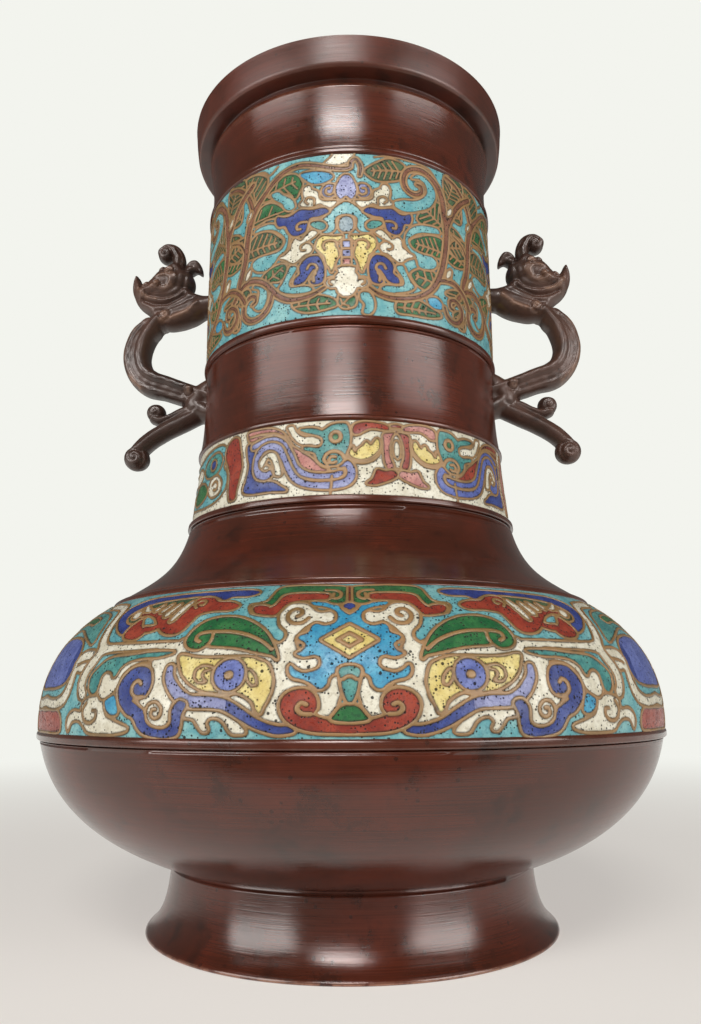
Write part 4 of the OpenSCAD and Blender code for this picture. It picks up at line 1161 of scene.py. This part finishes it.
def handle_relief():
    """The dragon: its head, the curved body and the tail, in x and z."""
    h = Relief(63.4, 110.5, 192.5, 312.5, 0.42)
    # the curved body: a flange outside and a round tube inside
    h.tube("96,264.6,5.4 100.6,259,5.6 102.6,250,5.8 100.2,242,6.0 94.6,236.4,6.0 87,233.6,5.0 78,230.6,5.0"
        " 64,227,4.6", 6.4, 3, 2.2)
    h.tube("91.6,268,3.0 97.2,260,3.4 99.6,250.6,3.6 97.6,242.6,3.8 92.6,238.4,3.6 86,236.2,3.2 78,233,3.2"
        " 64,228,3.0", 8.4, 4)
    h.bead("102.6,264.8 107.0,258 108.0,250 105.6,241 98.6,232.6", 0.35, 1.2)
    h.cut("98.6,265.2 103.1,258.4 104.5,250 102.4,241.2 96.4,234.8 88,231.6 79,228.6", 0.7, 0.8)
    # tail with its ball, side curl, and the foot of the handle on the neck
    h.tube("64,224,4.2 72,220.8,4.6 79,217,4.4 86.5,213,4.0 93.5,208.6,3.9 98,204.4,3.8 100.4,201,3.8", 6.4,
        5)
    h.tube("99.6,199.6,5.6 99.9,199.6,5.6 100.1,199.7,5.6", 7.2, 3)
    h.tube("70,225,2.6 79,221.6,2.4 84,219.2,2.1 88.6,217.8,2.1 92.4,218.8,2.2", 5.2, 4)
    h.tube("91.4,221.9,4.2 91.6,221.9,4.2 91.8,221.9,4.2", 6.0, 3)
    h.tube("64,235,4 70,229.5,5.4 72,224,5.4 64,219.5,4", 8.0, 6)
    # head, jaw and snout
    h.slab("62,279.6 70,280.6 75.5,282.6 78.4,286 78.4,290 80.2,295.4 85,298.4 89,296.6 92,295.4 96.4,290.4"
        " 99.2,286.6 101.2,288.6 103.4,291.2 104.9,286.4 104.4,280.4 102,276 97.8,272.4 94.6,268.4 90,265"
        " 84,264.4 75,267 69,271 66,274 62,276", 7.2, 4.2, 3)
    h.tube("62,276,4.6 70,275.4,5.2 78,274.6,6 86,272,5 91,268,4", 7.8, 5)
    h.tube("82,288,6.6 88,287.6,6.6 94,284.4,5.6 98.4,281.8,4.4", 9.0, 4)
    h.tube("101.4,279,1.9 103.4,283,1.9 103.9,287,1.6 103.4,290.6,1.0", 5.4, 3)
    # horn and ear
    h.tube("85.6,291,2.9 83.9,296,3.1 83.8,301,3.3 85.8,305,3.3 89.2,306.2,2.9 92,304.6,2.3", 5.0, 4)
    h.tube("89.8,303.6,3.7 90.0,303.5,3.7 90.2,303.4,3.7", 5.8, 3)
    h.slab("80.8,293 80.4,297 77.6,299.8 74.6,300 72.6,297.6 71.6,294.4 72,292.6 75,293.8 78,292.4", 4.6, 2.6,
        4)
    # relief on the faces
    h.raised("96,282.4 93,280.6 88.5,280.6 84.6,282.6 81.6,286.4 82.2,290.2 86,292 91,291.4 94.6,289.2"
        " 92.6,287.6 88.4,288 87,286.4 89,284.4 92.4,285.6 95,285.2", 1.2, 1.5)
    h.cut("98.6,277.6 94,275.6 88,275.4 84,277.2 79.6,279.8", 2.3, 1.1)
    h.cut("97.6,280.6 94,279 88,278.8 83,280.4 79.8,284.4 79,288.6", 1.3, 0.9)
    h.bead("101.4,283.6 100,280.4 97,278.8 93,278", 0.7, 0.9)
    h.bead("90,266.6 84,268 78,270.6 72.4,275", 0.8, 1.1)
    h.cut("92,271.4 86,272.6 80,275 74,278.4", 0.7, 0.9)
    h.cut("96.4,289.6 98.8,286.8 101.4,283.4", 0.9, 0.7)
    h.cut("79.4,293.4 82.2,296.6 82,301.4 84.2,305.4", 0.9, 0.8)
    h.cut("86.8,298.4 86.4,301.2 87.2,302.8", 1.1, 0.8)
    h.cut("79.6,296 76.4,296.6 73.6,295", 1.2, 1.5)
    h.boss(98.6, 285.6, 2.0, 1.2)
    h.boss(92.0, 284.8, 1.7, 1.5)
    h.boss(91.4, 295.0, 1.8, 1.0)
    h.cut("91.4,295 91.5,295.1", 1.0, 0.55)
    h.boss(86.9, 292.6, 2.5, 1.6)
    h.spiral(86.9, 292.6, 2.2, 1.3, 0.5, 0.7)
    h.boss(87.8, 269.4, 2.6, 1.1)
    h.spiral(87.8, 269.4, 2.4, 1.4, 2.0, 0.6)
    h.spiral(90.0, 303.5, 3.2, 1.4, 1.0, 0.8, 0.5)
    h.spiral(99.8, 199.6, 4.8, 1.6, 1.2, 0.8, 0.55)
    h.spiral(91.6, 221.9, 3.6, 1.5, -0.6, 0.7, 0.5)
    h.boss(75.2, 230.6, 2.3, 1.2)
    h.cut("72,221.8 80,218.4 87,215 93,211.2 97.6,207", 0.5, 0.7)
    return h


# ---------------------------------------------------------------- floor, lights, camera

AMBIENT = (0.2, 0.05)   # strength of the surroundings near the horizon and high up


def paper():
    """Pale paper that glows with painted light of its own, dimly near the vase and brighter further out, so
    that it runs into the backdrop.
    """
    m = Nodes("floor_paper_glow")
    reach = m.add("ShaderNodeVectorMath", operation="LENGTH")
    m.put(m.place, reach.inputs[0])
    out = m.ramp(reach.outputs["Value"], 0.12, 1.15)
    near = rgb(184, 181, 176)
    tone = m.mix(m.noise(3.0, 2), near, tuple(c * 0.985 for c in near[:3]) + (1,))
    # painted light: the paper glows, dimly near the vase and brighter further out, where its own colour fades
    # to black
    m.set(Base_Color=m.mix(out, tone, (0, 0, 0, 1)), Roughness=0.6, Emission_Strength=1.0,
          Emission_Color=m.mix(out, rgb(176, 172, 168), rgb(242, 243, 237)))
    m.shader.inputs["Specular IOR Level"].default_value = 0.0
    return m.material


def studio():
    """The floor that glows with painted light, the dark card that is seen only in the polish as a painted
    reflection, and the pale surroundings.
    """
    mesh = bpy.data.meshes.new("floor")
    n = 96
    rings = (0.0, 0.3, 1.0, 3.0, 9.0)
    verts = [(0, 0, 0)]
    faces = []
    for k, r in enumerate(rings[1:]):
        verts += [(r * math.cos(2 * math.pi * i / n), r * math.sin(2 * math.pi * i / n), 0) for i in range(n)]
        for i in range(n):
            j = (i + 1) % n
            if k == 0:
                faces.append((0, 1 + i, 1 + j))
            else:
                a, b = 1 + (k - 1) * n, 1 + k * n
                faces.append((a + i, b + i, b + j, a + j))
    mesh.from_pydata(verts, [], faces)
    mesh.materials.append(paper())
    floor = bpy.data.objects.new("floor", mesh)
    bpy.context.scene.collection.objects.link(floor)

    # a dark card on the floor in front of the vase, seen only in reflections: it paints a dark reflection
    # into the polish of the lower bowl, where the camera sees pale floor
    mesh = bpy.data.meshes.new("dark_reflection_card")
    near, far, side, z = -0.182, -2.0, 1.5, 0.002
    mesh.from_pydata([(-side, far, z), (side, far, z), (side, near, z), (-side, near, z)], [], [(0, 1, 2, 3)])
    m = Nodes("dark_reflection_card")
    # the card's dark colour, which shows only as a painted reflection
    m.set(Base_Color=m.mix(m.noise(4.0, 2), rgb(60, 44, 36), rgb(72, 54, 44)), Roughness=0.8)
    mesh.materials.append(m.material)
    card = bpy.data.objects.new("dark_reflection_card", mesh)
    bpy.context.scene.collection.objects.link(card)
    card.visible_camera = card.visible_diffuse = card.visible_shadow = card.visible_transmission = False

    world = bpy.data.worlds.new("studio")
    world.use_nodes = True
    nt = world.node_tree
    out = nt.nodes["World Output"]
    seen, lit = nt.nodes["Background"], nt.nodes.new("ShaderNodeBackground")
    seen.inputs[0].default_value, seen.inputs[1].default_value = rgb(243, 244, 238), 1.0
    coord, split = nt.nodes.new("ShaderNodeTexCoord"), nt.nodes.new("ShaderNodeSeparateXYZ")
    nt.links.new(coord.outputs["Generated"], split.inputs[0])
    ramp = nt.nodes.new("ShaderNodeMapRange")
    for key, v in (("From Min", 0.1), ("From Max", 0.75), ("To Min", AMBIENT[0]), ("To Max", AMBIENT[1])):
        ramp.inputs[key].default_value = v
    nt.links.new(split.outputs["Z"], ramp.inputs["Value"])
    lit.inputs[0].default_value = rgb(250, 248, 242)
    nt.links.new(ramp.outputs[0], lit.inputs[1])
    path, mix = nt.nodes.new("ShaderNodeLightPath"), nt.nodes.new("ShaderNodeMixShader")
    nt.links.new(path.outputs["Is Camera Ray"], mix.inputs[0])
    nt.links.new(lit.outputs[0], mix.inputs[1])
    nt.links.new(seen.outputs[0], mix.inputs[2])
    nt.links.new(mix.outputs[0], out.inputs["Surface"])
    bpy.context.scene.world = world


def soft_box(name, azimuth, elevation, width, height, watts):
    """A rectangular light. Azimuth 0 is in front of the vase, positive towards +X."""
    distance, aim = 1.5, Vector((0, 0, 0.2))
    a, e = math.radians(azimuth), math.radians(elevation)
    light = bpy.data.lights.new(name, "AREA")
    light.shape, light.size, light.size_y = "RECTANGLE", width, height
    light.energy, light.color = watts, (1, 0.985, 0.96)
    lamp = bpy.data.objects.new(name, light)
    bpy.context.scene.collection.objects.link(lamp)
    at = Vector((math.sin(a) * math.cos(e), -math.cos(a) * math.cos(e), math.sin(e))) * distance + aim
    lamp.location = at
    lamp.rotation_mode = "QUATERNION"
    lamp.rotation_quaternion = (aim - at).to_track_quat("-Z", "Y")
    lamp.visible_camera = False


def camera():
    """A low camera close in front of the vase, looking up a little."""
    turn, pitch, roll = math.radians(2.5), math.radians(12.17), math.radians(-0.275)
    data = bpy.data.cameras.new("camera")
    data.sensor_width, data.lens, data.shift_y = 36.0, 29.56641, 0.006494
    data.clip_start, data.clip_end = 0.01, 50
    cam = bpy.data.objects.new("camera", data)
    bpy.context.scene.collection.objects.link(cam)
    distance, height = 374.9 * MM, 89.0 * MM
    cam.location = (distance * math.sin(turn), -distance * math.cos(turn), height)
    look = Vector((-math.sin(turn) * math.cos(pitch), math.cos(turn) * math.cos(pitch), math.sin(pitch)))
    cam.rotation_mode = "QUATERNION"
    cam.rotation_quaternion = look.to_track_quat("-Z", "Y") @ Matrix.Rotation(roll, 3, "Z").to_quaternion()
    bpy.context.scene.camera = cam


castings()
fit_band("body", body_drawing(), Wrap(BODY, 6.0, math.radians(2.3)), 3,
         ("body_enamel", "body_enamel_eyes", "body_enamel_lozenges"))
fit_band("upper", upper_drawing(), Wrap(UPPER, 4.1, math.radians(1.5) - 52.6 / 67.0), 4,
         ("upper_enamel", "upper_enamel_pearls"), mirrored=False)
fit_band("lower", lower_drawing(), Wrap(LOWER, 6.9, math.radians(2.5) - 89.0 / 68.0), 2,
         ("lower_enamel", "lower_enamel_eyes"), other={"P": "R", "R": "P", "L": "N"})
relief = handle_relief()
for hand, side in (("right", 1), ("left", -1)):
    relief.mesh("dragon_handle_" + hand, side, (f"handle_{hand}", f"handle_{hand}_pearls"))
for node in ("base_plate", "rivets_upper_left", "rivets_upper_right", "rivets_lower_left",
    "rivets_lower_right"):
    kept = frame["nodes"][node]
    kept.data.materials.clear()
    kept.data.materials.append(INSIDE)

studio()
soft_box("window_left", -50, 11, 1.07, 0.76, 12)
soft_box("window_middle", -8.5, 25, 0.6, 0.31, 1.6)
soft_box("skylight", -4, 37, 0.58, 0.32, 8.4)
soft_box("window_right", 55, 11, 1.0, 0.76, 12)
camera()
view = bpy.context.scene.view_settings
view.view_transform = "Standard"
